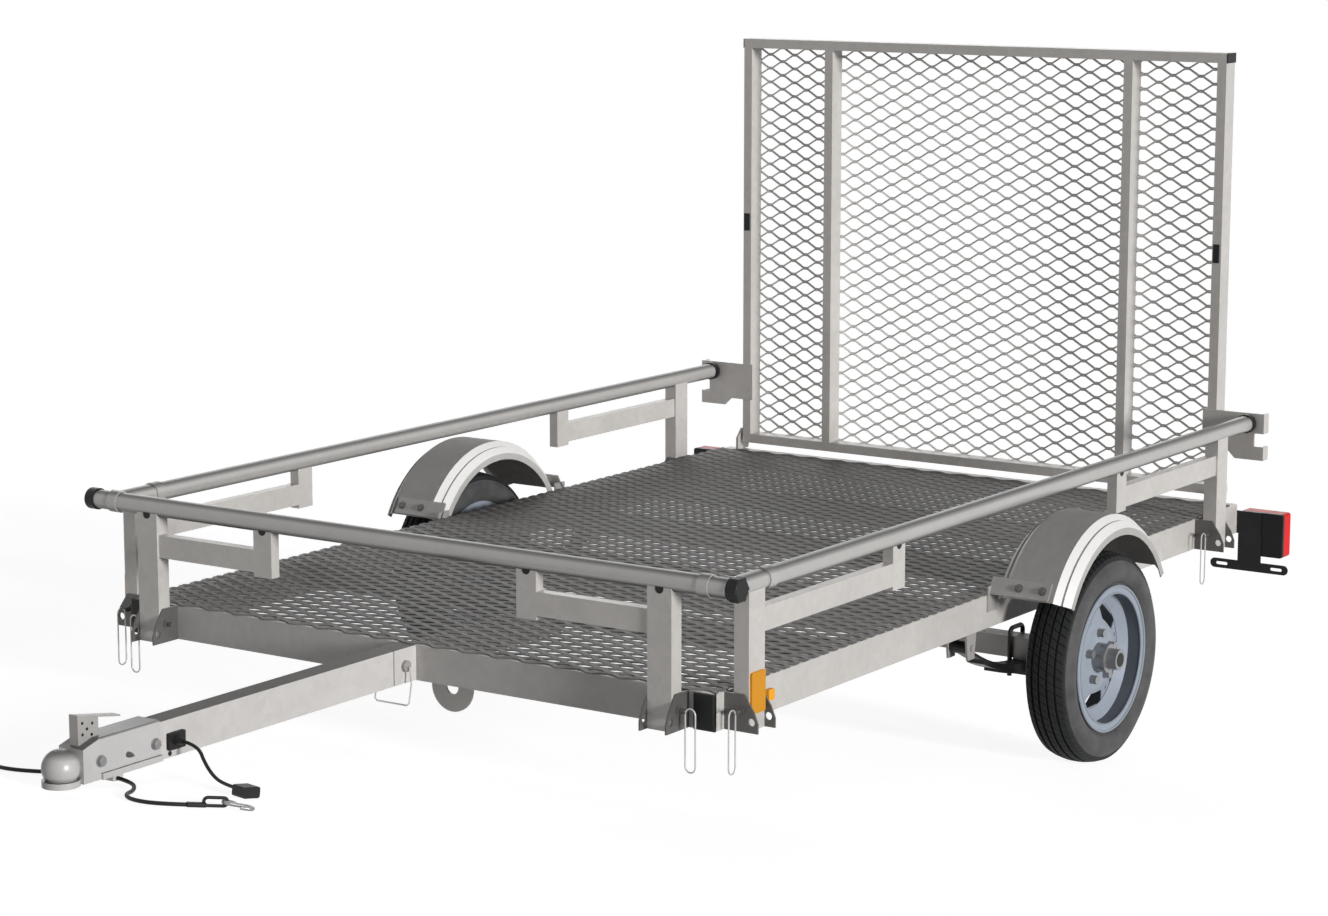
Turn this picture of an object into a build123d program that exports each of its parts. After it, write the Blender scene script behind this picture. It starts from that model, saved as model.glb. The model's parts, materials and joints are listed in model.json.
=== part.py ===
from build123d import *
import os
from math import asin, atan2, ceil, cos, degrees, hypot, pi, radians, sin, sqrt, tan

# Galvanised utility trailer with an expanded metal deck, removable rails and a ramp gate.
# It is drawn hitched level: X to its left side, -Y forwards along the tongue, Z up, the ground
# at zero and the middle of the bed at X = Y = 0. All of it is then turned nose down about the
# axle until the coupler stands on the ground, which is how it parks, and moved to its origin.
# Millimetres.

# Frame
bed_width = 1562.0
bed_length = 2438.0
ground_to_top = 419.0
frame_depth = 76.0
rail_section = 50.0
steel = 3.0
channel_flange = 38.0
cross_depth = 50.0
cross_shares = (-0.278, -0.091, 0.091, 0.281)
sill_width = 42.0
plug_proud = 10.0
cap_round = 4.0
overrun = 20.0
touch = 0.3

# Wheels and axle
axle_place = 150.0
tyre_radius = 245.0
wheel_place = 912.0
section_width = 118.0
tread_width = 90.0
shoulder_drop = 9.0
rim_flange_radius = 171.0
rim_seat_radius = 154.0
rim_well_radius = 128.0
rim_half_width = 49.0
rim_metal = 3.5
disc_offset = 12.0
disc_dish = 16.0
hub_bolt_circle = 57.0
hub_bolt_count = 5
hub_bolt_radius = 6.0
nut_radius = 10.0
nut_height = 16.0
hub_radius = 33.0
hub_flange_radius = 74.0
hub_flange_thickness = 9.0
hub_length = 92.0
cap_radius = 24.0
cap_length = 26.0
window_count = 5
window_inner_radius = 84.0
window_outer_radius = 120.0
window_round = 6.0
arm_width = 52.0
arm_hole_place = 106.0
arm_hole_radius = 4.5
spindle_radius = 15.0
running_fit = 0.05
beam_section = 50.0
beam_end = 806.0

# Springs
spring_place = 743.0
spring_width = 44.0
spring_half_chord = 316.0
spring_rise = 88.0
leaf_thickness = 7.0
leaf_shares = (1.0, 0.78, 0.52)
eye_radius = 15.0
eye_bolt_radius = 7.0
hanger_plate = 5.0
hanger_width = 46.0
hanger_drop = 26.0
spring_seat = 3.0
u_bolt_radius = 5.5
u_bolt_bend = 14.0
spring_plate_thickness = 9.0

# Fenders
fender_radius = 290.0
fender_axis_rise = 42.0
fender_half_angle = 63.0
fender_inner = 790.0
fender_width = 186.0
fender_sheet = 2.5
fender_skirt = 46.0
fender_bead = 15.0
fender_bead_step = 5.0
fender_inner_lip = 30.0
strap_width = 42.0
strap_thickness = 4.0
strap_angle = 58.5
strap_reach_share = 0.75

# Rails
rail_tube_radius = 21.0
rail_tube_wall = 2.5
side_tube_height = 638.0
front_tube_height = 645.0
long_post_width = 58.0
long_post_depth = 35.0
short_post_width = 50.0
short_post_depth = 25.0
post_gap = 20.0
bar_height = 50.0
bar_depth = 25.0
bar_top = 585.0
short_post_bottom = 526.0
front_post_place = 682.0
front_short_place = 352.0
side_front_post = -1158.0
side_front_short = -597.0
side_rear_short = 446.0
side_rear_post = 1000.0
tube_cap_length = 16.0
tube_end_gap = 8.0
knob_length = 26.0
collar_length = 26.0
tab_size = 44.0
tab_thickness = 4.0
collar_wall = 3.0

# Post sockets
ear_thickness = 4.0
ear_reach = 24.0
ear_hole_radius = 8.0
ear_hole_inset = 15.0
ear_hole_height = 22.0
ear_tip_height = 20.0
ear_top_width = 26.0
pin_radius = 5.0
pin_head_radius = 9.0
pin_head_thickness = 3.0
socket_fit = 0.5

# Tongue and coupler
tongue_width = 50.0
tongue_depth = 75.0
tongue_wall = 4.0
tongue_front = -2165.0
tongue_seam = -1294.0
tongue_gap = 3.0
insert_fit = 0.6
insert_lap = 190.0
receiver_pin_radius = 8.0
keeper_radius = 55.0
keeper_hole_radius = 17.0
keeper_thickness = 6.0
keeper_place = -1066.0
ball_place = -2238.0
coupler_wall = 6.0
coupler_rise = 2.0
coupler_lap = 162.0
coupler_taper = 45.0
coupler_flange = 12.0
socket_radius = 36.0
socket_rise = 34.0
socket_height = 66.0
coupler_bolt_shares = (0.0, 0.91)
coupler_bolt_radius = 6.0
coupler_bolt_head = 7.0
latch_width = 22.0
latch_height = 48.0
latch_length = 54.0
latch_plate = 3.5
latch_lever = 113.0
latch_fall = 10.0

# Ramp gate
gate_height_top = 1573.0
gate_half_width = 725.0
gate_tube = 25.0
gate_depth = 50.0
gate_face = 1197.0
gate_upright_place = 451.0
gate_sill_gap = 21.0
gate_mesh_thickness = 3.0
gate_pitch_long = 158.0
gate_pitch_short = 76.0
hinge_pin_radius = 8.0
hinge_ear_thickness = 7.0
hinge_ear_gap = 8.0
hinge_pin_reach = 34.0
holder_inner = 690.0
holder_width = 170.0
holder_bottom = 543.0
holder_top = 663.0
holder_thickness = 6.0
holder_lip = 24.0
holder_notch_depth = 26.0
holder_notch_bottom = 578.0
holder_notch_top = 612.0
holder_chamfer = 20.0
holder_cut_share = 0.42
pad_height = 47.0
pad_width = 15.0
pad_proud = 5.0
pad_middle = 1065.0
gate_cap = 3.0

# Deck
deck_thickness = 3.0
deck_margin = 12.0
deck_pitch_long = 317.0
deck_pitch_short = 152.0
deck_strand = 9.0
gate_strand = 6.0

# Lamps and plate bracket
lamp_inner = 788.0
lamp_width = 120.0
lamp_bottom = 288.0
lamp_height = 114.0
lamp_body = 10.0
lamp_lens = 40.0
lamp_round = 7.0
lens_round = 3.5
bracket_plate = 3.0
licence_width = 215.0
licence_height = 25.0
licence_drop = 42.0
licence_stem = 64.0
licence_slot = 32.0
licence_slot_height = 8.0
reflector_width = 50.0
reflector_height = 84.0
reflector_bottom = 378.0
reflector_thickness = 5.0
marker_size = 23.0
marker_proud = 9.0
marker_place = -1030.0
marker_height = 381.0

# Wiring lead and safety cables
grommet_place = -1957.0
grommet_middle = 376.0
grommet_length = 48.0
grommet_height = 34.0
grommet_base = 6.0
grommet_radius = 11.0
grommet_mouth = 5.5
grommet_reach = 22.0
lead_diameter = 7.0
plug_neck = 10.0
plug_neck_radius = 6.0
plug_length = 38.0
plug_width = 38.0
plug_height = 22.0
plug_round = 5.0
anchor_place = -2105.0
anchor_length = 28.0
anchor_width = 32.0
anchor_drop = 16.0
cable_diameter = 8.0
ferrule_length = 35.0
ferrule_width = 17.0
ferrule_height = 9.2
ferrule_middle = 4.9
eye_wire = 6.4
eye_loop_radius = 7.6
eye_loop_length = 44.0
eye_loop_lap = 4.0
eye_loop_middle = 11.2
hook_wire = 8.0
hook_ring = 11.0
hook_throat = 13.0
hook_shank = 26.0
hook_tail = 12.0
hook_tilt = 7.5
corner_share = 0.45

# Routes of the lead and the cables as they lie when parked, each point (x, y, z) from the
# middle of the trailer's outline on the ground
lead_route = ((47.5, -1446.0, 74.0), (85.0, -1447.0, 72.0), (108.0, -1449.0, 40.0), (140.0, -1454.0, 18.0),
              (176.0, -1461.0, 11.5), (212.0, -1471.0, 11.5))
left_cable_route = ((16.4, -1588.8, 11.0), (58.0, -1590.0, 8.6), (100.0, -1630.0, 4.6), (125.0, -1684.0, 4.6),
                    (170.0, -1712.0, 4.6), (222.0, -1700.0, 4.6), (255.0, -1658.0, 4.6))
right_cable_route = ((-16.6, -1589.0, 11.0), (-62.0, -1585.0, 7.0), (-108.0, -1605.0, 4.6), (-140.0, -1648.0, 4.6),
                     (-186.0, -1676.0, 4.6), (-238.0, -1668.0, 4.6), (-282.0, -1640.0, 4.6))

# Worked out from the sizes above
half_width = bed_width / 2
half_length = bed_length / 2
frame_bottom = ground_to_top - frame_depth
rail_inner = half_width - rail_section
tongue_top = ground_to_top
tongue_bottom = tongue_top - tongue_depth
tongue_middle = (tongue_top + tongue_bottom) / 2
post_outer = half_width + post_gap + long_post_depth
post_line = half_width + post_gap + long_post_depth / 2
front_post_line = half_length + post_gap + long_post_depth / 2
fender_centre = tyre_radius + fender_axis_rise
fender_outer = fender_inner + fender_width
holder_outer = holder_inner + holder_width
gate_bar_bottom = ground_to_top + gate_sill_gap
hinge_height = gate_bar_bottom + gate_tube / 2
hinge_place = gate_face + gate_depth / 2
coupler_bottom = tongue_bottom + coupler_rise
socket_middle = coupler_bottom + socket_rise
coupler_nose = ball_place - socket_radius


def parked_tilt():
    """Angle in degrees by which the nose comes down until the coupler stands on the ground."""
    reach = axle_place - coupler_nose
    lift = coupler_bottom - tyre_radius
    return degrees(atan2(lift, reach) + asin(tyre_radius / hypot(lift, reach)))


def length_parked():
    """Front and rear ends of the parked trailer along Y, before the origin is moved.

    The front end is the round front of the ball housing, the rear end the rounded bottom
    edge of the tail lamps."""
    turn = radians(parked_tilt())
    front = axle_place + (ball_place - axle_place) * cos(turn) - (socket_middle - tyre_radius) * sin(turn)
    front -= socket_radius
    back = half_length + bracket_plate + lamp_body + lamp_lens - lens_round - axle_place
    low = lamp_bottom + lens_round - tyre_radius
    rear = axle_place + back * cos(turn) - low * sin(turn) + lens_round
    return front, rear


def parked(shape):
    """The shape as it stands parked, nose down about the axle."""
    front, rear = length_parked()
    axle = Location((0, axle_place, tyre_radius))
    turned = axle * Rot(parked_tilt(), 0, 0) * axle.inverse() * shape
    return Pos(0, -(front + rear) / 2, 0) * turned


def block(low, high):
    """A box between two corners."""
    size = [b - a for a, b in zip(low, high)]
    return Pos(*[(a + b) / 2 for a, b in zip(low, high)]) * Box(*size)


def tube(low, high, along, wall):
    """A rectangular tube between two corners, open at both ends along one axis."""
    inner_low = [a - overrun if i == along else a + wall for i, a in enumerate(low)]
    inner_high = [b + overrun if i == along else b - wall for i, b in enumerate(high)]
    return block(low, high) - block(inner_low, inner_high)


def rod(start, end, radius):
    """A round bar between two points."""
    path = Vector(*end) - Vector(*start)
    return Solid.make_cylinder(radius, path.length, Plane(origin=start, z_dir=path.normalized()))


def prism_x(points, x0, x1):
    """An outline in Y and Z, extruded from one X to another."""
    face = make_face(Polyline(*[(0, y, z) for y, z in points], close=True))
    return Pos(x0, 0, 0) * extrude(face, x1 - x0, dir=(1, 0, 0))


def prism_y(points, y0, y1):
    """An outline in X and Z, extruded from one Y to another."""
    face = make_face(Polyline(*[(x, 0, z) for x, z in points], close=True))
    return Pos(0, y0, 0) * extrude(face, y1 - y0, dir=(0, 1, 0))


def mirrored(shape):
    """The same shape on the other side of the trailer."""
    return mirror(shape, Plane.YZ)


def both_sides(shape):
    return [shape, mirrored(shape)]


def channel(low, high, along, open_side, wall):
    """A channel section: the block between two corners, cut out towards one face.

    open_side is (axis, direction) of the face that is open."""
    inner_low, inner_high = [], []
    for i, (a, b) in enumerate(zip(low, high)):
        if i == along:
            inner_low.append(a - overrun)
            inner_high.append(b + overrun)
        elif i == open_side[0]:
            inner_low.append(a - overrun if open_side[1] < 0 else a + wall)
            inner_high.append(b + overrun if open_side[1] > 0 else b - wall)
        else:
            inner_low.append(a + wall)
            inner_high.append(b - wall)
    return block(low, high) - block(inner_low, inner_high)


# The main frame
def side_rail():
    return tube((rail_inner, -half_length, frame_bottom), (half_width, half_length, ground_to_top), 1, steel)


def rail_plug():
    """Closing cap on the front end of a side rail."""
    cap = block((rail_inner, -half_length - plug_proud, frame_bottom), (half_width, -half_length, ground_to_top))
    return fillet(cap.faces().sort_by(Axis.Y)[0].edges(), cap_round)


def front_crossmember():
    web = channel((-rail_inner, -half_length, frame_bottom),
                  (rail_inner, -half_length + channel_flange, ground_to_top), 0, (1, 1), steel)
    side = tongue_width / 2
    return web - block((-side, -half_length - overrun, tongue_bottom),
                       (side, -half_length + channel_flange + overrun, tongue_top))


def rear_sill():
    return channel((-rail_inner, half_length - sill_width, ground_to_top - cross_depth),
                   (rail_inner, half_length, ground_to_top), 0, (1, 1), steel)


def deck_crossmembers():
    members = []
    for share in cross_shares:
        place = share * bed_length
        members.append(channel((-rail_inner, place - channel_flange, ground_to_top - cross_depth),
                               (rail_inner, place, ground_to_top), 0, (1, -1), steel))
    return members


def expanded_sheet(x_half, low, high, thickness, pitch_long, pitch_short, strand):
    """Expanded metal in the XY plane: a sheet with staggered rows of diamond openings.

    The diamonds at the edges are cut off straight, one strand inside the sheet's border."""
    y_half = (high - low) / 2
    sheet = Rectangle(2 * x_half, 2 * y_half)
    inside = Rectangle(2 * (x_half - strand), 2 * (y_half - strand))
    opening_x = pitch_long / 2 - strand
    opening_y = pitch_short / 2 - strand / 2
    diamond = Polygon((-opening_x, 0), (0, -opening_y), (opening_x, 0), (0, opening_y), align=None)
    rows = ceil(2 * y_half / pitch_short)
    columns = ceil(x_half / pitch_long)
    openings = []
    for row in range(-rows, rows + 1):
        y = row * pitch_short / 2
        for column in range(-columns, columns + 1):
            x = (column + (row % 2) / 2) * pitch_long
            room_x = x_half - strand - abs(x)
            room_y = y_half - strand - abs(y)
            if min(room_x / opening_x, room_y / opening_y) < -1 / 3:
                continue
            opening = Pos(x, y) * diamond
            if room_x < opening_x or room_y < opening_y:
                opening = opening & inside
            openings.append(opening)
    return Pos(0, (low + high) / 2, 0) * extrude(sheet - openings, thickness)


def deck_mesh():
    sheet = expanded_sheet(half_width - deck_margin, -half_length + deck_margin / 2,
                           half_length - sill_width, deck_thickness,
                           deck_pitch_long, deck_pitch_short, deck_strand)
    return Pos(0, 0, ground_to_top) * sheet


# Axle and springs
def axle_beam():
    """Square axle tube with its spindles, and the seats on which the springs bear."""
    half = beam_section / 2
    radius, centre = spring_curve()
    beam = tube((-beam_end, axle_place - half, tyre_radius - half),
                (beam_end, axle_place + half, tyre_radius + half), 0, steel)
    spindle_end = wheel_place + hub_length / 2
    axle = beam
    for side in (-1, 1):
        start = (side * (beam_end - beam_section), axle_place, tyre_radius)
        end = (side * spindle_end, axle_place, tyre_radius)
        axle += rod(start, end, spindle_radius)
        for place in (beam_end - steel, beam_end - beam_section):
            x0, x1 = sorted((side * place, side * (place + steel)))
            axle += block((x0, axle_place - half, tyre_radius - half), (x1, axle_place + half, tyre_radius + half))
        x0, x1 = sorted((side * (spring_place - spring_width / 2), side * (spring_place + spring_width / 2)))
        seat = block((x0, axle_place - half, tyre_radius - 2 * half), (x1, axle_place + half, tyre_radius - half))
        axle += seat & rod((x0 - overrun, axle_place, centre), (x1 + overrun, axle_place, centre), radius)
    return axle


def spring_curve():
    """Radius of the spring's upper face and the height of its centre."""
    radius = (spring_half_chord ** 2 + spring_rise ** 2) / (2 * spring_rise)
    return radius, tyre_radius - beam_section / 2 - spring_seat + radius


def leaf_spring():
    radius, centre = spring_curve()
    low_x = spring_place - spring_width / 2
    pack = None
    for number, share in enumerate(leaf_shares):
        inner = radius + number * leaf_thickness
        outer = inner + leaf_thickness
        ring = rod((low_x, axle_place, centre), (low_x + spring_width, axle_place, centre), outer)
        ring -= rod((low_x - overrun, axle_place, centre), (low_x + spring_width + overrun, axle_place, centre), inner)
        reach = spring_half_chord * share
        ring &= block((low_x, axle_place - reach, 0), (low_x + spring_width, axle_place + reach, centre / 2))
        pack = ring if pack is None else pack + ring
    eye_height = centre - sqrt(radius ** 2 - spring_half_chord ** 2)
    for end in (-1, 1):
        place = axle_place + end * spring_half_chord
        pack += rod((low_x, place, eye_height), (low_x + spring_width, place, eye_height), eye_radius)
        pack -= rod((low_x - overrun, place, eye_height),
                    (low_x + spring_width + overrun, place, eye_height), eye_bolt_radius + touch)
    return pack


def spring_hangers():
    """Two-eared hangers under the side rail that carry the spring's eyes on their bolts."""
    radius, centre = spring_curve()
    eye_height = centre - sqrt(radius ** 2 - spring_half_chord ** 2)
    ear_low = eye_height - hanger_drop
    inner = spring_place - spring_width / 2 - touch
    outer = spring_place + spring_width / 2 + touch
    hangers = []
    for end in (-1, 1):
        place = axle_place + end * spring_half_chord
        half = hanger_width / 2
        outline = [(place - half, frame_bottom), (place + half, frame_bottom),
                   (place + eye_radius, ear_low), (place - eye_radius, ear_low)]
        hanger = prism_x(outline, inner - hanger_plate, inner) + prism_x(outline, outer, outer + hanger_plate)
        hanger += block((inner - hanger_plate, place - half, frame_bottom - hanger_plate),
                        (outer + hanger_plate, place + half, frame_bottom))
        hanger += rod((inner - 2 * hanger_plate, place, eye_height),
                      (outer + 2 * hanger_plate, place, eye_height), eye_bolt_radius)
        hangers.append(hanger)
    return hangers


def spring_clamp():
    """The plate under the spring with the U bolts that hold it to the beam."""
    radius, centre = spring_curve()
    plate_top = centre - radius - len(leaf_shares) * leaf_thickness
    reach_x = spring_width / 2 + u_bolt_radius + touch
    reach_y = beam_section / 2 + u_bolt_radius + touch
    edge = 2 * u_bolt_radius
    plate = block((spring_place - reach_x - edge, axle_place - reach_y - edge, plate_top - spring_plate_thickness),
                  (spring_place + reach_x + edge, axle_place + reach_y + edge, plate_top))
    top = tyre_radius + beam_section / 2 + u_bolt_radius + touch
    low = plate_top - 2 * spring_plate_thickness
    for side in (-1, 1):
        x = spring_place + side * reach_x
        path = FilletPolyline((x, axle_place - reach_y, low), (x, axle_place - reach_y, top + u_bolt_bend),
                              (x, axle_place + reach_y, top + u_bolt_bend), (x, axle_place + reach_y, low),
                              radius=u_bolt_bend)
        plate += sweep(Plane((x, axle_place - reach_y, low)) * Circle(u_bolt_radius), path)
    return plate


# Wheels
def tyre():
    """Turned about the wheel's own axis, X, with its middle at the origin."""
    half_tread = tread_width / 2
    half_section = section_width / 2
    half_bead = rim_half_width - rim_metal - touch
    shoulder = tyre_radius - shoulder_drop
    bulge = (tyre_radius + rim_seat_radius) / 2
    bead = rim_seat_radius + touch
    wall = rim_flange_radius + rim_metal
    with BuildSketch(Plane.XY) as section:
        with BuildLine():
            crown = ThreePointArc((-half_tread, shoulder), (0, tyre_radius), (half_tread, shoulder))
            ThreePointArc(crown @ 1, (half_section, bulge), (half_bead, wall))
            Polyline((half_bead, wall), (half_bead, bead), (-half_bead, bead), (-half_bead, wall))
            ThreePointArc((-half_bead, wall), (-half_section, bulge), crown @ 0)
        make_face()
    return revolve(section.sketch, Axis.X)


def rim():
    """One-piece wheel: the barrel with its flanges, and the dished disc with its windows."""
    half = rim_half_width
    well = half - 2 * disc_dish
    outer = [(-half, rim_flange_radius), (-half + rim_metal, rim_flange_radius),
             (-half + rim_metal, rim_seat_radius), (-well, rim_seat_radius), (-well + disc_dish, rim_well_radius),
             (well - disc_dish, rim_well_radius), (well, rim_seat_radius), (half - rim_metal, rim_seat_radius),
             (half - rim_metal, rim_flange_radius), (half, rim_flange_radius)]
    inner = [(x, r - rim_metal) for x, r in reversed(outer[3:7])]
    inner = [(half, rim_seat_radius - rim_metal)] + inner + [(-half, rim_seat_radius - rim_metal)]
    barrel = revolve(make_face(Polyline(*[(x, r, 0) for x, r in outer + inner], close=True)), Axis.X)
    face_x = disc_offset
    disc_rim = rim_well_radius - rim_metal + touch
    profile = [(face_x, hub_radius + touch), (face_x, hub_flange_radius),
               (face_x - disc_dish, disc_rim), (face_x - disc_dish + rim_metal, disc_rim),
               (face_x + rim_metal, hub_flange_radius), (face_x + rim_metal, hub_radius + touch)]
    disc = revolve(make_face(Polyline(*[(x, r, 0) for x, r in profile], close=True)), Axis.X)
    gap = pi / window_count
    inner_half = window_inner_radius * tan(gap) - arm_width / 2 / cos(gap)
    outer_half = window_outer_radius * tan(gap) - arm_width / 2 / cos(gap)
    window = prism_x([(-inner_half, window_inner_radius), (inner_half, window_inner_radius),
                      (outer_half, window_outer_radius), (-outer_half, window_outer_radius)],
                     face_x - 2 * disc_dish, face_x + 2 * disc_dish)
    window = fillet(window.edges().filter_by(Axis.X), window_round)
    for number in range(window_count):
        disc -= Rot((number + 1 / 2) * 360 / window_count, 0, 0) * window
        disc -= Rot(number * 360 / window_count, 0, 0) * rod((face_x - 2 * disc_dish, 0, arm_hole_place),
                                                             (face_x + 2 * disc_dish, 0, arm_hole_place), arm_hole_radius)
    for number in range(hub_bolt_count):
        turn = Rot(number * 360 / hub_bolt_count, 0, 0)
        disc -= turn * rod((-overrun, 0, hub_bolt_circle), (2 * overrun, 0, hub_bolt_circle), hub_bolt_radius + touch)
    return barrel + disc


def hub():
    """Bearing hub with its flange behind the disc, studs, nuts and grease cap."""
    flange_face = disc_offset
    body = rod((-hub_length / 2, 0, 0), (hub_length / 2, 0, 0), hub_radius)
    body += rod((flange_face - hub_flange_thickness, 0, 0), (flange_face, 0, 0), hub_flange_radius - touch)
    body += rod((hub_length / 2, 0, 0), (hub_length / 2 + cap_length, 0, 0), cap_radius)
    body -= rod((-hub_length, 0, 0), (hub_length / 2 + touch, 0, 0), spindle_radius + running_fit)
    nut_start = flange_face + rim_metal + touch
    for number in range(hub_bolt_count):
        turn = Rot(number * 360 / hub_bolt_count, 0, 0)
        body += turn * rod((flange_face - hub_flange_thickness, 0, hub_bolt_circle),
                           (nut_start + nut_height, 0, hub_bolt_circle), hub_bolt_radius)
        hexagon = Plane((nut_start, 0, hub_bolt_circle), x_dir=(0, 1, 0), z_dir=(1, 0, 0)) * RegularPolygon(nut_radius, 6)
        body += turn * extrude(hexagon, nut_height)
    return body


def on_wheel(shape, side):
    """Put a wheel piece, drawn about the origin facing +X, on one side of the axle."""
    placed = Pos(wheel_place, axle_place, tyre_radius) * shape
    return placed if side > 0 else mirrored(placed)


# Fenders
def fender():
    """Arched sheet with a stepped skirt on its outer edge and a lip on its inner one."""
    r = fender_radius
    step = fender_bead_step
    outline = [(fender_inner, r - fender_inner_lip), (fender_inner, r), (fender_outer - step, r),
               (fender_outer, r - step), (fender_outer, r - fender_bead),
               (fender_outer - step, r - fender_bead - step), (fender_outer - step, r - 2 * fender_bead + step),
               (fender_outer, r - 2 * fender_bead), (fender_outer, r - fender_skirt)]
    inside = [(fender_outer - fender_sheet, r - fender_skirt),
              (fender_outer - fender_sheet, r - 2 * fender_bead - fender_sheet),
              (fender_outer - step - fender_sheet, r - 2 * fender_bead + step - fender_sheet),
              (fender_outer - step - fender_sheet, r - fender_sheet),
              (fender_inner + fender_sheet, r - fender_sheet),
              (fender_inner + fender_sheet, r - fender_inner_lip)]
    face = make_face(Polyline(*[(x, 0, z) for x, z in outline + inside], close=True))
    swept = revolve(face, Axis.X, revolution_arc=2 * fender_half_angle)
    for angle in (-fender_half_angle, fender_half_angle):
        turned = Rot(angle, 0, 0) * swept
        middle = turned.center()
        if abs(middle.Y) < fender_radius / 10 and middle.Z > 0:
            return Pos(0, axle_place, fender_centre) * turned


def fender_brackets():
    """Straps under the fender's ends, each with a foot on the side rail."""
    brackets = []
    under = sqrt((fender_radius - fender_sheet) ** 2 - (strap_width / 2) ** 2) - touch / 2
    for side in (-1, 1):
        strap = block((half_width, -strap_width / 2, under - strap_thickness),
                      (fender_inner + strap_reach_share * fender_width, strap_width / 2, under))
        strap -= block((fender_inner - touch, -strap_width, under - fender_inner_lip),
                       (fender_inner + fender_sheet + touch, strap_width, under + overrun))
        strap = Pos(0, axle_place, fender_centre) * Rot(side * strap_angle, 0, 0) * strap
        y = axle_place - side * under * sin(radians(strap_angle))
        z = fender_centre + under * cos(radians(strap_angle))
        foot = block((half_width, y - strap_width / 2, ground_to_top - frame_depth / 2),
                     (half_width + strap_thickness, y + strap_width / 2, z - strap_thickness))
        brackets.append((strap + foot, y))
    return [shape for shape, place in brackets]


# Rails
def saddle(post, start, end):
    """Cut a post's top to the round tube that it carries."""
    return post - rod(start, end, rail_tube_radius + touch)


def side_posts(places, width, depth, bottom):
    """Posts of the left rail: their middles along Y, their section and the height of their feet."""
    posts = []
    for place in places:
        post = tube((post_line - depth / 2, place - width / 2, bottom),
                    (post_line + depth / 2, place + width / 2, side_tube_height), 2, steel)
        posts.append(saddle(post, (post_line, place - width, side_tube_height),
                            (post_line, place + width, side_tube_height)))
    return posts


def front_posts(places, width, depth, bottom):
    """Posts of the front rail: their middles along X, their section and the height of their feet."""
    posts = []
    for place in places:
        post = tube((place - width / 2, -front_post_line - depth / 2, bottom),
                    (place + width / 2, -front_post_line + depth / 2, front_tube_height), 2, steel)
        posts.append(saddle(post, (place - width, -front_post_line, front_tube_height),
                            (place + width, -front_post_line, front_tube_height)))
    return posts


def rail_long_posts():
    left = side_posts((side_front_post, side_rear_post), long_post_width, long_post_depth, frame_bottom)
    front = front_posts((-front_post_place, front_post_place), long_post_width, long_post_depth, frame_bottom)
    return left + [mirrored(post) for post in left] + front


def rail_short_posts():
    left = side_posts((side_front_short, side_rear_short), short_post_width, short_post_depth, short_post_bottom)
    front = front_posts((-front_short_place, front_short_place), short_post_width, short_post_depth, short_post_bottom)
    return left + [mirrored(post) for post in left] + front


def rail_bars():
    """Flat tubes between each long post and the short post beside it."""
    half_long = long_post_width / 2
    half_short = short_post_width / 2
    low, high = bar_top - bar_height, bar_top
    bars = []
    for start, end in ((side_front_post + half_long, side_front_short - half_short),
                       (side_rear_short + half_short, side_rear_post - half_long)):
        bars += both_sides(tube((post_line - bar_depth / 2, start, low), (post_line + bar_depth / 2, end, high), 1, steel))
    bars += both_sides(tube((front_short_place + half_short, -front_post_line - bar_depth / 2, low),
                            (front_post_place - half_long, -front_post_line + bar_depth / 2, high), 0, steel))
    return bars


def side_tube_ends():
    """Front and rear ends of a side rail's round tube."""
    return -half_length + cap_round, gate_face - holder_thickness - tube_cap_length - tube_end_gap


def rail_tubes():
    start, end = side_tube_ends()
    side = rod((post_line, start, side_tube_height), (post_line, end, side_tube_height), rail_tube_radius)
    side -= rod((post_line, -half_length - overrun, side_tube_height), (post_line, end + overrun, side_tube_height),
                rail_tube_radius - rail_tube_wall)
    front_end = post_line + rail_tube_radius
    front = rod((-front_end, -front_post_line, front_tube_height), (front_end, -front_post_line, front_tube_height),
                rail_tube_radius)
    front -= rod((-front_end - overrun, -front_post_line, front_tube_height),
                 (front_end + overrun, -front_post_line, front_tube_height), rail_tube_radius - rail_tube_wall)
    return both_sides(side) + [front]


def rail_caps():
    """Black plugs in the ends of the rails' round tubes."""
    start, end = side_tube_ends()
    front_end = post_line + rail_tube_radius
    cap_radius_out = rail_tube_radius + collar_wall
    rear = rod((post_line, end, side_tube_height), (post_line, end + tube_cap_length, side_tube_height), cap_radius_out)
    front = rod((front_end, -front_post_line, front_tube_height),
                (front_end + knob_length, -front_post_line, front_tube_height), cap_radius_out)
    front = fillet(front.edges().sort_by(Axis.X)[-1], cap_round)
    return both_sides(rear) + both_sides(front)


def rail_collars():
    """Collars on the round tubes at the front corners, and the end plates of the side tubes."""
    start, end = side_tube_ends()
    front = rod((post_line - rail_tube_radius - collar_length, -front_post_line, front_tube_height),
                (post_line - rail_tube_radius, -front_post_line, front_tube_height), rail_tube_radius + collar_wall)
    front -= rod((0, -front_post_line, front_tube_height), (post_outer, -front_post_line, front_tube_height),
                 rail_tube_radius + touch / 2)
    ring_start = side_front_post + long_post_width / 2 + collar_length / 2
    ring = rod((post_line, ring_start, side_tube_height), (post_line, ring_start + collar_length, side_tube_height),
               rail_tube_radius + collar_wall)
    ring -= rod((post_line, start, side_tube_height), (post_line, end, side_tube_height), rail_tube_radius + touch / 2)
    plate = Pos(post_line, start - tab_thickness / 2, side_tube_height) * Box(tab_size, tab_thickness, tab_size)
    plate = fillet(plate.edges().filter_by(Axis.Y), cap_round)
    return both_sides(front) + both_sides(ring) + both_sides(plate)


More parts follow.
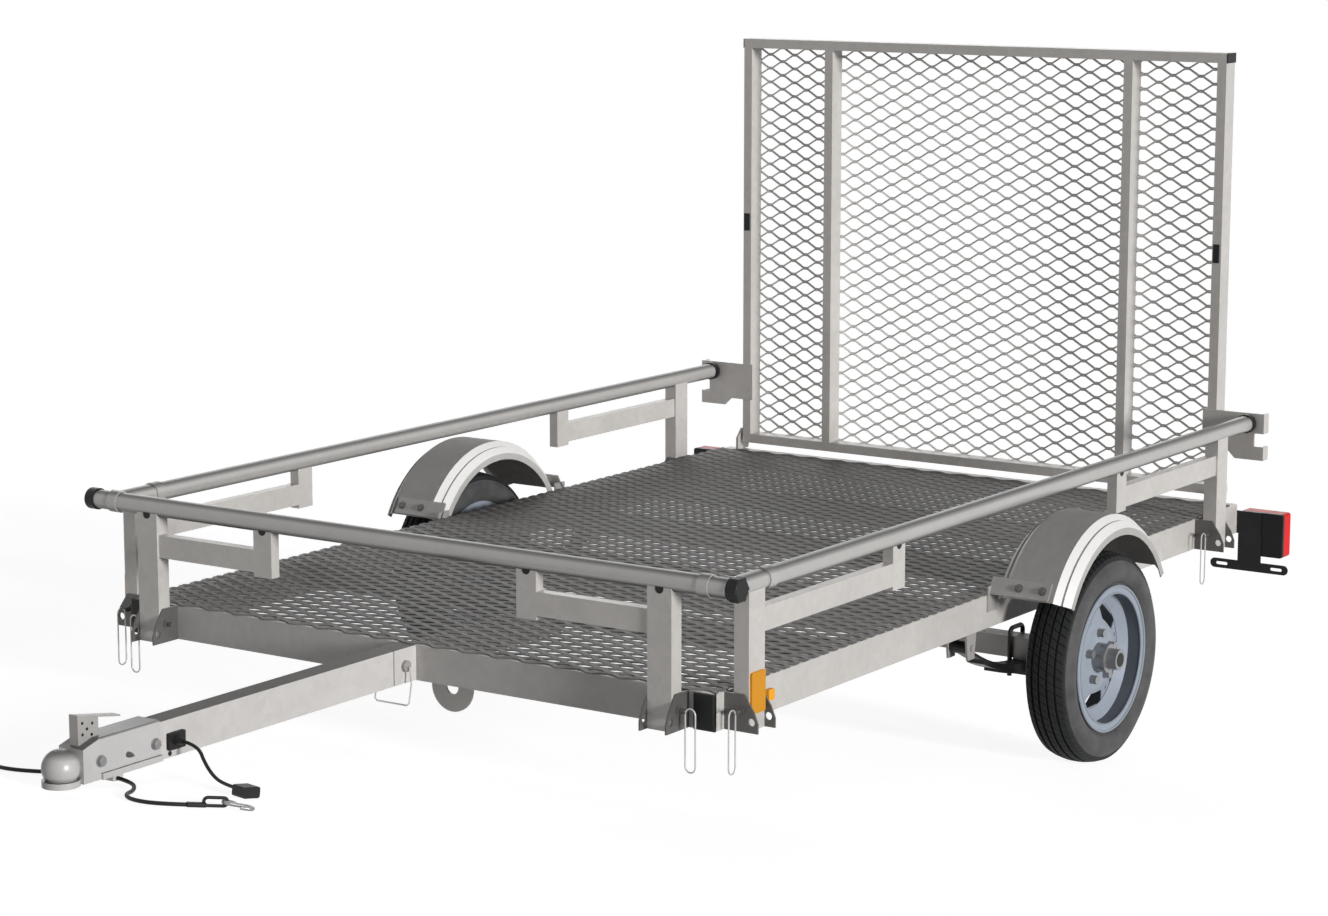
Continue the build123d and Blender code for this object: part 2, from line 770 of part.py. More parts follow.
# Sockets that hold the posts' feet
def socket(width):
    """One socket, drawn at X = 0 on a face at Y = 0, the post outside it towards -Y."""
    half = width / 2 + socket_fit
    back = -post_gap + socket_fit
    front = back - long_post_depth - socket_fit
    tip = front - ear_reach
    ear = [(0, frame_bottom), (tip, frame_bottom), (tip, frame_bottom + ear_tip_height),
           (tip + ear_tip_height / 2, frame_bottom + 2 * ear_hole_height),
           (-post_gap - ear_top_width, ground_to_top), (0, ground_to_top)]
    body = None
    for low, high in ((-half - ear_thickness, -half), (half, half + ear_thickness)):
        plate = prism_x(ear, low, high)
        plate -= rod((low - overrun, tip + ear_hole_inset, frame_bottom + ear_hole_height),
                     (high + overrun, tip + ear_hole_inset, frame_bottom + ear_hole_height), ear_hole_radius)
        body = plate if body is None else body + plate
    body += block((-half - ear_thickness, back, frame_bottom), (half + ear_thickness, back + ear_thickness, ground_to_top))
    return body


def rail_sockets():
    width = long_post_width
    sockets = [Pos(x, -half_length, 0) * socket(width) for x in (-front_post_place, front_post_place)]
    for place in (side_front_post, side_rear_post):
        sockets += both_sides(Pos(half_width, place, 0) * Rot(0, 0, 90) * socket(width))
    return sockets


def socket_pin(width):
    """Cross pin behind the ears' outer holes, with a flat head at its far end."""
    half = width / 2 + ear_thickness + socket_fit
    middle = -post_gap - long_post_depth / 2
    height = (frame_bottom + ground_to_top) / 2 + ear_thickness
    pin = rod((half, middle, height), (half + pin_head_thickness, middle, height), pin_head_radius)
    pin += rod((half, middle, height), (half + 2 * pin_head_radius, middle, height), pin_radius)
    return pin


def rail_pins():
    width = long_post_width
    pins = [Pos(x, -half_length, 0) * socket_pin(width) for x in (-front_post_place, front_post_place)]
    for place in (side_front_post, side_rear_post):
        pins += [Pos(half_width, place, 0) * Rot(0, 0, 90) * mirror(socket_pin(width), Plane.YZ),
                 mirrored(Pos(half_width, place, 0) * Rot(0, 0, 90) * mirror(socket_pin(width), Plane.YZ))]
    return pins


# Tongue
def tongue():
    half = tongue_width / 2
    return tube((-half, tongue_front, tongue_bottom), (half, tongue_seam, tongue_top), 1, tongue_wall)


def tongue_receiver():
    half = tongue_width / 2
    return tube((-half, tongue_seam + tongue_gap, tongue_bottom), (half, -half_length + steel, tongue_top), 1, tongue_wall)


def tongue_insert():
    """Inner tube that joins the tongue to its receiver and runs under the deck."""
    half = tongue_width / 2 - tongue_wall - insert_fit
    low = tongue_bottom + tongue_wall + insert_fit
    high = tongue_top - tongue_wall - insert_fit
    end = cross_shares[0] * bed_length - steel - touch
    inner = tube((-half, tongue_seam - insert_lap, low), (half, end, high), 1, tongue_wall)
    notch = end - channel_flange
    return inner - block((-tongue_width, notch, ground_to_top - steel - touch),
                         (tongue_width, end + overrun, ground_to_top + overrun)) \
        - block((-tongue_width, notch, ground_to_top - cross_depth - touch),
                (tongue_width, end + overrun, ground_to_top - cross_depth + steel + touch))


def receiver_pin():
    """Cross pin through the receiver with a round head."""
    half = tongue_width / 2
    place = (tongue_seam - half_length) / 2
    pin = rod((half, place, tongue_middle), (half + receiver_pin_radius, place, tongue_middle), 3 * receiver_pin_radius / 2)
    return pin


def keeper_plate():
    """Round plate with a hole that hangs under the tongue's inner tube behind the crossmember."""
    top = tongue_bottom + tongue_wall + insert_fit
    centre = top - keeper_radius
    disc = rod((0, keeper_place, centre), (0, keeper_place + keeper_thickness, centre), keeper_radius)
    disc -= rod((0, keeper_place - overrun, centre), (0, keeper_place + overrun, centre), keeper_hole_radius)
    tab = block((-tongue_width / 4, keeper_place, centre + keeper_radius / 2),
                (tongue_width / 4, keeper_place + keeper_thickness, top))
    tab -= rod((0, keeper_place - overrun, centre), (0, keeper_place + overrun, centre), keeper_hole_radius)
    return disc + tab


def coupler_form():
    """Outside of the pressed coupler: a channel that runs into the round ball housing."""
    half = tongue_width / 2 + coupler_wall
    back = tongue_front + coupler_lap
    top = tongue_top + coupler_wall
    sleeve = block((-half, tongue_front, coupler_bottom), (half, back, top))
    sleeve += block((-half - coupler_wall, tongue_front, coupler_bottom),
                    (half + coupler_wall, back, coupler_bottom + coupler_flange))
    sleeve = fillet(sleeve.edges().filter_by(Axis.Y).sort_by(Axis.Z)[-2:], coupler_wall)
    front = tongue_front - coupler_taper
    nose = loft([Plane((0, tongue_front, coupler_bottom + (top - coupler_bottom) / 2), z_dir=(0, -1, 0))
                 * Rectangle(top - coupler_bottom, 2 * half),
                 Plane((0, front, coupler_bottom + socket_height / 2), z_dir=(0, -1, 0))
                 * Rectangle(socket_height, 2 * half)])
    dome = Pos(0, ball_place, socket_middle) * Sphere(socket_radius)
    dome -= block((-bed_width, coupler_nose - overrun, 0), (bed_width, axle_place, coupler_bottom))
    rim_ring = rod((0, ball_place, coupler_bottom), (0, ball_place, coupler_bottom + 2 * coupler_wall), socket_radius)
    return sleeve + nose + dome + rim_ring


def coupler():
    """The coupler, hollow over the tongue and round the tow ball."""
    body = coupler_form()
    room = socket_radius - coupler_wall - steel
    body -= Pos(0, ball_place, socket_middle) * Sphere(room)
    body -= rod((0, ball_place, coupler_bottom - overrun), (0, ball_place, socket_middle), room)
    return body - block((-tongue_width / 2, tongue_front, coupler_bottom - overrun),
                        (tongue_width / 2, tongue_front + coupler_lap + overrun, tongue_top))


def coupler_latch():
    """Upright latch bracket on the coupler's nose, with a thin lever along its top."""
    low = socket_middle
    place = ball_place + socket_radius + touch
    high = tongue_top + coupler_wall + latch_height
    half = latch_width / 2
    back = place + latch_length
    side = [(place, low), (place, high), (back, high - latch_fall), (back, tongue_top + 2 * latch_plate),
            (back - latch_length / 3, low)]
    latch = prism_x(side, half - latch_plate, half) + prism_x(side, -half, -half + latch_plate)
    latch += block((-half, place, low), (half, place + latch_plate, high))
    fall = latch_fall / latch_length * latch_lever
    lever = [(place, high - latch_plate), (place, high), (place + latch_lever, high - fall),
             (place + latch_lever, high - latch_plate - fall)]
    return latch + prism_x(lever, -half, half) - coupler_form()


def coupler_bolts():
    bolts = []
    for share in coupler_bolt_shares:
        place, height = tongue_front + share * coupler_lap, tongue_middle
        half = tongue_width / 2 + coupler_wall
        bolt = rod((half, place, height), (half + coupler_bolt_head, place, height), 2 * coupler_bolt_radius)
        bolts += both_sides(bolt)
    return bolts


# Ramp gate
def gate_frame():
    low = (0, gate_face, gate_bar_bottom)
    back = gate_face + gate_depth
    outer, inner = gate_half_width, gate_half_width - gate_tube
    frame = tube((-outer, gate_face, gate_height_top - gate_tube), (outer, back, gate_height_top), 0, steel)
    bottom = tube((-outer, gate_face, gate_bar_bottom), (outer, back, gate_bar_bottom + gate_tube), 0, steel)
    for side in (-1, 1):
        x0, x1 = sorted((side * outer, side * (outer - hinge_pin_reach)))
        bottom += block((x0, gate_face, gate_bar_bottom), (x1, back, gate_bar_bottom + gate_tube))
        bottom -= rod((side * (outer + overrun), hinge_place, hinge_height),
                      (side * (outer - hinge_pin_reach + hinge_ear_gap / 2), hinge_place, hinge_height),
                      hinge_pin_radius + running_fit)
        x0, x1 = sorted((side * outer, side * inner))
        frame += tube((x0, gate_face, gate_bar_bottom + gate_tube), (x1, back, gate_height_top - gate_tube), 2, steel)
        x0 = side * gate_upright_place - gate_tube / 2
        frame += tube((x0, gate_face, gate_bar_bottom + gate_tube), (x0 + gate_tube, back, gate_height_top - gate_tube), 2, steel)
    return frame + bottom


def gate_mesh():
    sheet = expanded_sheet(gate_half_width - gate_strand, 0, gate_height_top - gate_bar_bottom - gate_tube,
                           gate_mesh_thickness, gate_pitch_long, gate_pitch_short, gate_strand)
    lift = gate_bar_bottom + gate_tube / 2
    return Pos(0, gate_face + gate_depth + gate_mesh_thickness, lift) * Rot(90, 0, 0) * sheet


def gate_holder(side):
    """Plate on the gate's side that meets the rail's end, with a notch in its outer edge."""
    outline = [(holder_inner, holder_bottom + holder_chamfer), (holder_inner, holder_top),
               (holder_outer, holder_top), (holder_outer, holder_notch_top),
               (holder_outer - holder_notch_depth, holder_notch_top),
               (holder_outer - holder_notch_depth, holder_notch_bottom),
               (holder_outer, holder_notch_bottom), (holder_outer, holder_bottom),
               (holder_inner + holder_cut_share * holder_width + holder_chamfer, holder_bottom),
               (holder_inner + holder_cut_share * holder_width, holder_bottom + holder_chamfer)]
    plate = prism_y(outline, gate_face - holder_thickness, gate_face)
    for low, high in ((holder_bottom, holder_notch_bottom), (holder_notch_top, holder_top)):
        plate += block((holder_outer - holder_thickness, gate_face - holder_thickness, low),
                       (holder_outer, gate_face + holder_lip, high))
    return plate if side > 0 else mirrored(plate)


def gate_pads():
    """Black pads on the front of the gate's side tubes, and the plugs in its top bar's ends."""
    middle = gate_half_width - gate_tube / 2
    pad = block((middle - pad_width / 2, gate_face - pad_proud, pad_middle - pad_height / 2),
                (middle + pad_width / 2, gate_face, pad_middle + pad_height / 2))
    plug = block((gate_half_width, gate_face, gate_height_top - gate_tube),
                 (gate_half_width + gate_cap, gate_face + gate_depth, gate_height_top))
    return both_sides(pad) + both_sides(plug)


def gate_hinges():
    """Ears on the side rails with the pins on which the gate turns."""
    x0 = gate_half_width + hinge_ear_gap
    half = gate_depth / 2
    top = hinge_height + half
    front = gate_face - deck_margin + touch
    outline = [(front, ground_to_top), (hinge_place + half - hinge_pin_radius, ground_to_top),
               (hinge_place + half, hinge_height), (hinge_place + half / 2, top), (hinge_place - half / 2, top),
               (front, hinge_height)]
    ear = prism_x(outline, x0, x0 + hinge_ear_thickness)
    ear += rod((gate_half_width - hinge_pin_reach + hinge_ear_gap, hinge_place, hinge_height),
               (x0 + hinge_ear_thickness, hinge_place, hinge_height), hinge_pin_radius)
    return both_sides(ear)


# Lamps, reflectors and plate bracket
def rounded_lamp(y0, y1):
    box = block((lamp_inner, y0, lamp_bottom), (lamp_inner + lamp_width, y1, lamp_bottom + lamp_height))
    return fillet(box.edges().filter_by(Axis.Y), lamp_round)


def lamp_brackets():
    plate = block((rail_inner, half_length, frame_bottom),
                  (lamp_inner + lamp_width / 2, half_length + bracket_plate, lamp_bottom + lamp_height))
    return both_sides(plate)


def tail_lamps():
    y0 = half_length + bracket_plate
    return both_sides(rounded_lamp(y0, y0 + lamp_body))


def tail_lenses():
    y0 = half_length + bracket_plate + lamp_body
    lens = rounded_lamp(y0, y0 + lamp_lens)
    lens = fillet(lens.faces().sort_by(Axis.Y)[-1].edges(), lens_round)
    return both_sides(lens)


def licence_bracket():
    middle = lamp_inner + lamp_width / 4
    y0 = half_length
    bar_bottom = lamp_bottom - licence_drop
    bar = block((middle - licence_width / 2, y0, bar_bottom), (middle + licence_width / 2, y0 + bracket_plate,
                                                              bar_bottom + licence_height))
    bar = fillet(bar.edges().filter_by(Axis.Y), licence_height / 2 - touch)
    for side in (-1, 1):
        centre = middle + side * (licence_width / 2 - licence_slot)
        slot = Plane((centre, y0 - overrun, bar_bottom + licence_height / 2), x_dir=(1, 0, 0), z_dir=(0, -1, 0)) \
            * SlotOverall(licence_slot, licence_slot_height)
        bar -= extrude(slot, -4 * overrun)
    stem = block((middle - licence_stem / 2, y0, bar_bottom + licence_height / 2),
                 (middle + licence_stem / 2, y0 + bracket_plate, frame_bottom))
    return bar + stem


def side_reflectors():
    reflector = block((post_outer, side_front_post - reflector_width / 2, reflector_bottom),
                      (post_outer + reflector_thickness, side_front_post + reflector_width / 2,
                       reflector_bottom + reflector_height))
    reflector = fillet(reflector.edges().filter_by(Axis.X), cap_round)
    return both_sides(reflector)


def marker_lamps():
    marker = block((half_width, marker_place - marker_size / 2, marker_height - marker_size / 2),
                   (half_width + marker_proud, marker_place + marker_size / 2, marker_height + marker_size / 2))
    marker = fillet(marker.edges().filter_by(Axis.X), cap_round)
    return both_sides(marker)


# Wiring lead and safety cables
def lead_grommet():
    """Moulded grommet on the tongue's left side, with the boot that the lead comes out of."""
    side = tongue_width / 2
    base = block((side, grommet_place - grommet_length / 2, grommet_middle - grommet_height / 2),
                 (side + grommet_base, grommet_place + grommet_length / 2, grommet_middle + grommet_height / 2))
    base = fillet(base.edges().filter_by(Axis.X), cap_round)
    boot = Plane(origin=(side + grommet_base, grommet_place, grommet_middle), z_dir=(1, 0, 0))
    return base + Solid.make_cone(grommet_radius, grommet_mouth, grommet_reach - grommet_base, boot)


def cable_anchor():
    """Block under the tongue that the two safety cables come out of."""
    half = anchor_width / 2
    anchor = block((-half, anchor_place - anchor_length / 2, tongue_bottom - anchor_drop),
                   (half, anchor_place + anchor_length / 2, tongue_bottom))
    return fillet(anchor.edges().filter_by(Axis.X).sort_by(Axis.Z)[:2], cap_round)


def cord_tube(name, route, diameter):
    """Plain tube along a route, with an arc at each of its corners."""
    radii = []
    for before, here, after in zip(route, route[1:], route[2:]):
        run_in = Vector(*here) - Vector(*before)
        run_out = Vector(*after) - Vector(*here)
        half_turn = radians(run_in.get_angle(run_out)) / 2
        radii.append(corner_share * min(run_in.length, run_out.length) / tan(half_turn))
    path = FilletPolyline(*route, radius=radii)
    print(name, "length", round(path.length, 1), "radii", [round(radius, 1) for radius in radii])
    return sweep(Plane(origin=route[0], z_dir=path % 0) * Circle(diameter / 2), path)


def end_plane(route, height):
    """Plane across a lying cord at its far end, at one height, X to its side and Y up."""
    x0, y0, z0 = route[-2]
    x1, y1, z1 = route[-1]
    along = Vector(x1 - x0, y1 - y0, 0).normalized()
    return Plane(origin=(x1, y1, height), x_dir=Vector(0, 0, 1).cross(along), z_dir=along)


def wiring_plug():
    """Flat trailer plug on the lead's end, with the neck that the lead runs into."""
    across = end_plane(lead_route, lead_route[-1][2])
    neck = across * extrude(Circle(plug_neck_radius), plug_neck)
    body = extrude(Pos(0, 0, plug_neck) * Rectangle(plug_width, plug_height), plug_length)
    return neck + across * fillet(body.edges().filter_by(Axis.Z), plug_round)


def cable_eye(route):
    """Swaged ferrule on a cable's end and the upright loop that it closes."""
    across = end_plane(route, 0)
    ferrule = Pos(0, ferrule_middle, 0) * extrude(SlotOverall(ferrule_width, ferrule_height), ferrule_length)
    start = ferrule_length - eye_loop_lap + eye_loop_radius
    end = start + eye_loop_length - 2 * eye_loop_radius
    low, high = eye_loop_middle - eye_loop_radius, eye_loop_middle + eye_loop_radius
    loop = Wire([Edge.make_line((0, low, start), (0, low, end)),
                 Edge.make_three_point_arc((0, low, end), (0, eye_loop_middle, end + eye_loop_radius), (0, high, end)),
                 Edge.make_line((0, high, end), (0, high, start)),
                 Edge.make_three_point_arc((0, high, start), (0, eye_loop_middle, start - eye_loop_radius),
                                           (0, low, start))])
    wire = sweep(Plane((0, low, start), z_dir=(0, 0, 1)) * Circle(eye_wire / 2), loop)
    return across * (ferrule + wire)


def safety_hook(route, side):
    """S hook whose ring hangs in the cable's loop, tipped until its far end lies on the ground."""
    seat = ferrule_length - eye_loop_lap + eye_loop_length - eye_wire / 2 - touch - hook_wire / 2
    across = end_plane(route, eye_loop_middle)
    along, up, tilt = across.z_dir, across.y_dir, radians(hook_tilt)
    flat = Plane(origin=across.origin + along * seat, x_dir=along * cos(tilt) - up * sin(tilt),
                 z_dir=along * sin(tilt) + up * cos(tilt))
    throat_x, throat_y = hook_ring + hook_shank, -side * (hook_ring + hook_throat)
    far_y = throat_y - side * hook_throat
    low, high = (hook_ring, -side * hook_ring), (throat_x, -side * hook_ring)
    path = Wire([CenterArc((hook_ring, 0), hook_ring, side * 10, side * 260).edge(), Line(low, high).edge(),
                 ThreePointArc(high, (throat_x + hook_throat, throat_y), (throat_x, far_y)).edge(),
                 Line((throat_x, far_y), (throat_x - hook_tail, far_y)).edge()])
    hook = sweep(Plane(origin=path @ 0, z_dir=path % 0) * Circle(hook_wire / 2), path)
    return flat * hook


def build_lying():
    """The nodes that lie on the ground beside the parked trailer."""
    cables = (left_cable_route, right_cable_route)
    return {
        "wiring_lead": cord_tube("wiring_lead", lead_route, lead_diameter), "wiring_plug": wiring_plug(),
        "safety_cable_left": cord_tube("safety_cable_left", left_cable_route, cable_diameter),
        "safety_cable_right": cord_tube("safety_cable_right", right_cable_route, cable_diameter),
        "cable_eyes": [cable_eye(route) for route in cables],
        "safety_hooks": [safety_hook(route, side) for route, side in zip(cables, (1, -1))],
    }


def build():
    """Every node and its shape, hitched level."""
    nodes = {
        "side_rail_left": side_rail(), "side_rail_right": mirrored(side_rail()),
        "side_rail_plugs": both_sides(rail_plug()),
        "front_crossmember": front_crossmember(), "rear_sill": rear_sill(),
        "deck_crossmembers": deck_crossmembers(), "deck_mesh": deck_mesh(),
        "axle_beam": axle_beam(), "leaf_springs": both_sides(leaf_spring()),
        "spring_hangers": [h for hanger in spring_hangers() for h in both_sides(hanger)],
        "spring_clamps": both_sides(spring_clamp()),
        "fender_left": fender(), "fender_right": mirrored(fender()),
        "fender_brackets": [b for bracket in fender_brackets() for b in both_sides(bracket)],
        "rail_tubes": rail_tubes(), "rail_long_posts": rail_long_posts(),
        "rail_short_posts": rail_short_posts(), "rail_bars": rail_bars(),
        "rail_caps": rail_caps(), "rail_collars": rail_collars(),
        "rail_sockets": rail_sockets(), "rail_pins": rail_pins(),
        "tongue": tongue(), "tongue_receiver": tongue_receiver(), "tongue_insert": tongue_insert(),
        "receiver_pin": receiver_pin(), "keeper_plate": keeper_plate(),
        "coupler": coupler(), "coupler_latch": coupler_latch(), "coupler_bolts": coupler_bolts(),
        "lead_grommet": lead_grommet(), "cable_anchor": cable_anchor(),
        "gate_frame": gate_frame(), "gate_mesh": gate_mesh(),
        "gate_holder_left": gate_holder(1), "gate_holder_right": gate_holder(-1),
        "gate_pads": gate_pads(), "gate_hinges": gate_hinges(),
        "lamp_brackets": lamp_brackets(), "tail_lamps": tail_lamps(), "tail_lenses": tail_lenses(),
        "licence_bracket": licence_bracket(),
        "side_reflectors": side_reflectors(), "marker_lamps": marker_lamps(),
    }
    for side, name in ((1, "left"), (-1, "right")):
        nodes["tyre_" + name] = on_wheel(tyre(), side)
        nodes["rim_" + name] = on_wheel(rim(), side)
        nodes["hub_" + name] = on_wheel(hub(), side)
    return nodes


def solids_of(shape):
    """The solids of a shape or a list of shapes."""
    if isinstance(shape, (list, tuple)):
        return [solid for item in shape for solid in solids_of(item)]
    return list(shape.solids())


def main():
    os.makedirs("parts", exist_ok=True)
    nodes = {name: [parked(solid) for solid in solids_of(shape)] for name, shape in build().items()}
    nodes |= {name: solids_of(shape) for name, shape in build_lying().items()}
    for name, solids in nodes.items():
        whole = solids[0] if len(solids) == 1 else Compound(children=solids)
        export_step(whole, f"parts/{name}.step")


main()
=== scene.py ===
import json
import math

import bpy
from mathutils import Matrix, Vector

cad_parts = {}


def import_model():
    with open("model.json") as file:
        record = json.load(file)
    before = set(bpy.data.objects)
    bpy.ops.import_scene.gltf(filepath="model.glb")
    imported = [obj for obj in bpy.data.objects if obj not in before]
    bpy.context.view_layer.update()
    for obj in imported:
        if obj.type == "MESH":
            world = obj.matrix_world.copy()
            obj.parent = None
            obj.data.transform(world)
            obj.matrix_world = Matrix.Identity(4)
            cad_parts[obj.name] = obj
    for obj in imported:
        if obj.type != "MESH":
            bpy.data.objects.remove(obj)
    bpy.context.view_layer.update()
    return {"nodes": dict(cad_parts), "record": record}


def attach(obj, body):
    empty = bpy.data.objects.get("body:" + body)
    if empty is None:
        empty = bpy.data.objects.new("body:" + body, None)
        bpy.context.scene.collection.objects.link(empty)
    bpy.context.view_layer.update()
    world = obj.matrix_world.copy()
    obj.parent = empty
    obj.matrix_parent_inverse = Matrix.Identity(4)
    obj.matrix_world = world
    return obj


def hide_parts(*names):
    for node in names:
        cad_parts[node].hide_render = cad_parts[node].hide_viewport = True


# Galvanised utility trailer, parked nose down on its coupler.
# All pieces but the cords are drawn in the trailer's own level frame in millimetres, X to its
# left side, Y rearwards, Z up. The matrix PARK carries them into the parked frame in metres.

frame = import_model()
record = frame["record"]
MM = 0.001
FULL_TURN = 2 * math.pi
# The direction in X and the name of each side
SIDES = ((1, "left"), (-1, "right"))

# Level sizes of the model that the details are set on
AXLE = (150.0, 245.0)
HINGE = (1222.0, 452.5)
DECK_TOP = 419.0
RAIL_DEPTH = 76.0
BED_HALF_WIDTH = 781.0
BED_HALF_LENGTH = 1219.0
SILL_WIDTH = 42.0
POST_LINE = 818.5
FRONT_LINE = -1256.5
GATE_HALF_WIDTH = 725.0
GATE_BACK = 1247.0
GATE_TOP = 1573.0
GATE_LOW = 440.0
WHEEL_PLACE = 912.0
TYRE_RADIUS = 245.0


def joint_place(name):
    """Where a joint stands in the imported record, as Y and Z in millimetres."""
    for joint in record["behaviour"]["joints"]:
        if joint["name"] == name:
            return joint["pos_m"][1] / MM, joint["pos_m"][2] / MM


def parking():
    """The matrix from level millimetres to parked metres, from the axle and the gate's hinge."""
    axle, hinge = joint_place("wheel_left_spin"), joint_place("gate_swing")
    parked_angle = math.atan2(hinge[1] - axle[1], hinge[0] - axle[0])
    level_angle = math.atan2(HINGE[1] - AXLE[1], HINGE[0] - AXLE[0])
    turn = Matrix.Rotation(parked_angle - level_angle, 4, "X")
    return (Matrix.Scale(MM, 4) @ Matrix.Translation((0, *axle)) @ turn
            @ Matrix.Translation((0, -AXLE[0], -AXLE[1])))


PARK = parking()


# Materials
# Places of a colour Mix node's sockets
MIX_FACTOR = 0
MIX_FIRST = 6
MIX_SECOND = 7
MIX_RESULT = 2


class Nodes:
    """Short calls for a material's node tree."""

    def __init__(self, name):
        self.material = bpy.data.materials.new(name)
        self.material.use_nodes = True
        self.tree = self.material.node_tree
        self.shader = self.tree.nodes["Principled BSDF"]

    def add(self, kind, **inputs):
        """A node with the named inputs set."""
        node = self.tree.nodes.new(kind)
        for name, value in inputs.items():
            node.inputs[name.replace("_", " ")].default_value = value
        return node

    def link(self, out, socket):
        """Joins an output to an input."""
        self.tree.links.new(out, socket)

    def texture(self, kind, scale, **inputs):
        """A procedural texture in the object's own metres."""
        place = self.add("ShaderNodeTexCoord")
        node = self.add(kind, Scale=scale, **inputs)
        self.link(place.outputs["Object"], node.inputs["Vector"])
        return node

    def ramp(self, factor, stops, colours):
        """A colour ramp with one colour at each stop."""
        node = self.add("ShaderNodeValToRGB")
        for element, position, colour in zip(node.color_ramp.elements, stops, colours):
            element.position = position
            element.color = (*colour, 1.0)
        self.link(factor, node.inputs["Fac"])
        return node.outputs["Color"]

    def mixed(self, factor, first, second, blend="MIX"):
        """Two colours mixed by a factor, each of the three a socket or a value."""
        node = self.add("ShaderNodeMix")
        node.data_type = "RGBA"
        node.blend_type = blend
        for place, value in ((MIX_FACTOR, factor), (MIX_FIRST, first), (MIX_SECOND, second)):
            if isinstance(value, bpy.types.NodeSocket):
                self.link(value, node.inputs[place])
            else:
                node.inputs[place].default_value = value
        return node.outputs[MIX_RESULT]

    def facing(self, axis, start, full):
        """A factor of 0 where the normal's part on an axis has the size start, and of 1 at full."""
        place = self.add("ShaderNodeTexCoord")
        split = self.add("ShaderNodeSeparateXYZ")
        self.link(place.outputs["Normal"], split.inputs["Vector"])
        size = self.add("ShaderNodeMath")
        size.operation = "ABSOLUTE"
        self.link(split.outputs[axis], size.inputs[0])
        share = self.add("ShaderNodeMapRange", From_Min=start, From_Max=full)
        self.link(size.outputs["Value"], share.inputs["Value"])
        return share.outputs["Result"]

    def roughness(self, factor, middle, below, above):
        """A roughness that a factor spreads about its middle."""
        node = self.add("ShaderNodeMapRange", To_Min=middle - below, To_Max=middle + above)
        self.link(factor, node.inputs["Value"])
        self.link(node.outputs["Result"], self.shader.inputs["Roughness"])

    def bump(self, height, strength, distance):
        """A bump from a height, its distance in metres."""
        node = self.add("ShaderNodeBump", Strength=strength, Distance=distance)
        self.link(height, node.inputs["Height"])
        self.link(node.outputs["Normal"], self.shader.inputs["Normal"])


def shade(colour, share):
    """A colour made lighter or darker by a share."""
    return tuple(min(1.0, channel * share) for channel in colour)


CLOUD_SCALE = 7.0
CLOUD_STOPS = (0.3, 0.7)
CRYSTAL_STOPS = (0.1, 0.9)
CRYSTAL_SHARE = 0.35
METAL_GRAIN_SCALE = 900.0
# Sides that get painted shade: an axis, and the size of the normal's part on it where the painted
# shade starts and where it is full
# Painted shade on tops and undersides
PAINTED_SHADE_TOPS_AND_UNDERSIDES = ("Z", 0.45, 0.85)
# Painted shade on faces that don't look along the axle, such as the inside of a rim's barrel
PAINTED_SHADE_OFF_AXLE_SIDES = ("X", 0.75, 0.35)


def metal_sheet(name, colour, metallic, roughness, mottle=0.10, crystal_scale=55.0, gloss=0.5,
                painted_shade=1.0, painted_shade_sides=PAINTED_SHADE_TOPS_AND_UNDERSIDES):
    """Galvanised, plated or painted steel: faint crystals, cloudy patches and a fine grain.

    The colour is multiplied by a share on the sides given, as painted shade on those sides."""
    n = Nodes(name)
    crystals = n.texture("ShaderNodeTexVoronoi", crystal_scale)
    clouds = n.texture("ShaderNodeTexNoise", CLOUD_SCALE, Detail=4.0, Roughness=0.6)
    grain = n.texture("ShaderNodeTexNoise", METAL_GRAIN_SCALE, Detail=2.0)
    dark = shade(colour, 1 - mottle)
    cloudy = n.ramp(clouds.outputs["Fac"], CLOUD_STOPS, (dark, shade(colour, 1 + mottle / 2)))
    spangled = n.ramp(crystals.outputs["Color"], CRYSTAL_STOPS, (dark, shade(colour, 1 + mottle)))
    tone = n.mixed(CRYSTAL_SHARE, cloudy, spangled)
    # Painted shade: the colour is darkened on the sides given
    if painted_shade < 1.0:
        tone = n.mixed(n.facing(*painted_shade_sides), tone, (painted_shade, painted_shade, painted_shade, 1.0), "MULTIPLY")
    n.link(tone, n.shader.inputs["Base Color"])
    n.roughness(clouds.outputs["Fac"], roughness, below=0.08, above=0.10)
    n.shader.inputs["Metallic"].default_value = metallic
    n.shader.inputs["Specular IOR Level"].default_value = gloss
    n.bump(grain.outputs["Fac"], strength=0.10, distance=0.0004)
    return n.material


PLASTIC_CLOUD_SCALE = 22.0
PLASTIC_STOPS = (0.3, 0.75)
PLASTIC_GRAIN_SCALE = 960.0
PLASTIC_GLOSS = 0.25


def plastic(name, colour, roughness, wear=0.25):
    """Moulded plastic, rubber or paint with a faint grain and a slightly worn tone."""
    n = Nodes(name)
    clouds = n.texture("ShaderNodeTexNoise", PLASTIC_CLOUD_SCALE, Detail=4.0)
    grain = n.texture("ShaderNodeTexNoise", PLASTIC_GRAIN_SCALE, Detail=2.0)
    tones = (shade(colour, 1 - wear), shade(colour, 1 + wear))
    n.link(n.ramp(clouds.outputs["Fac"], PLASTIC_STOPS, tones), n.shader.inputs["Base Color"])
    n.roughness(clouds.outputs["Fac"], roughness, below=0.06, above=0.08)
    n.shader.inputs["Specular IOR Level"].default_value = PLASTIC_GLOSS
    n.bump(grain.outputs["Fac"], strength=0.12, distance=0.0003)
    return n.material


LENS_STOPS = (0.2, 0.8)
# Painted shade: the grooves between the ribs are darker by this share
LENS_GROOVE_PAINTED_SHADE = 0.7
LENS_ROUGHNESS = 0.40
LENS_GLOSS = 0.12


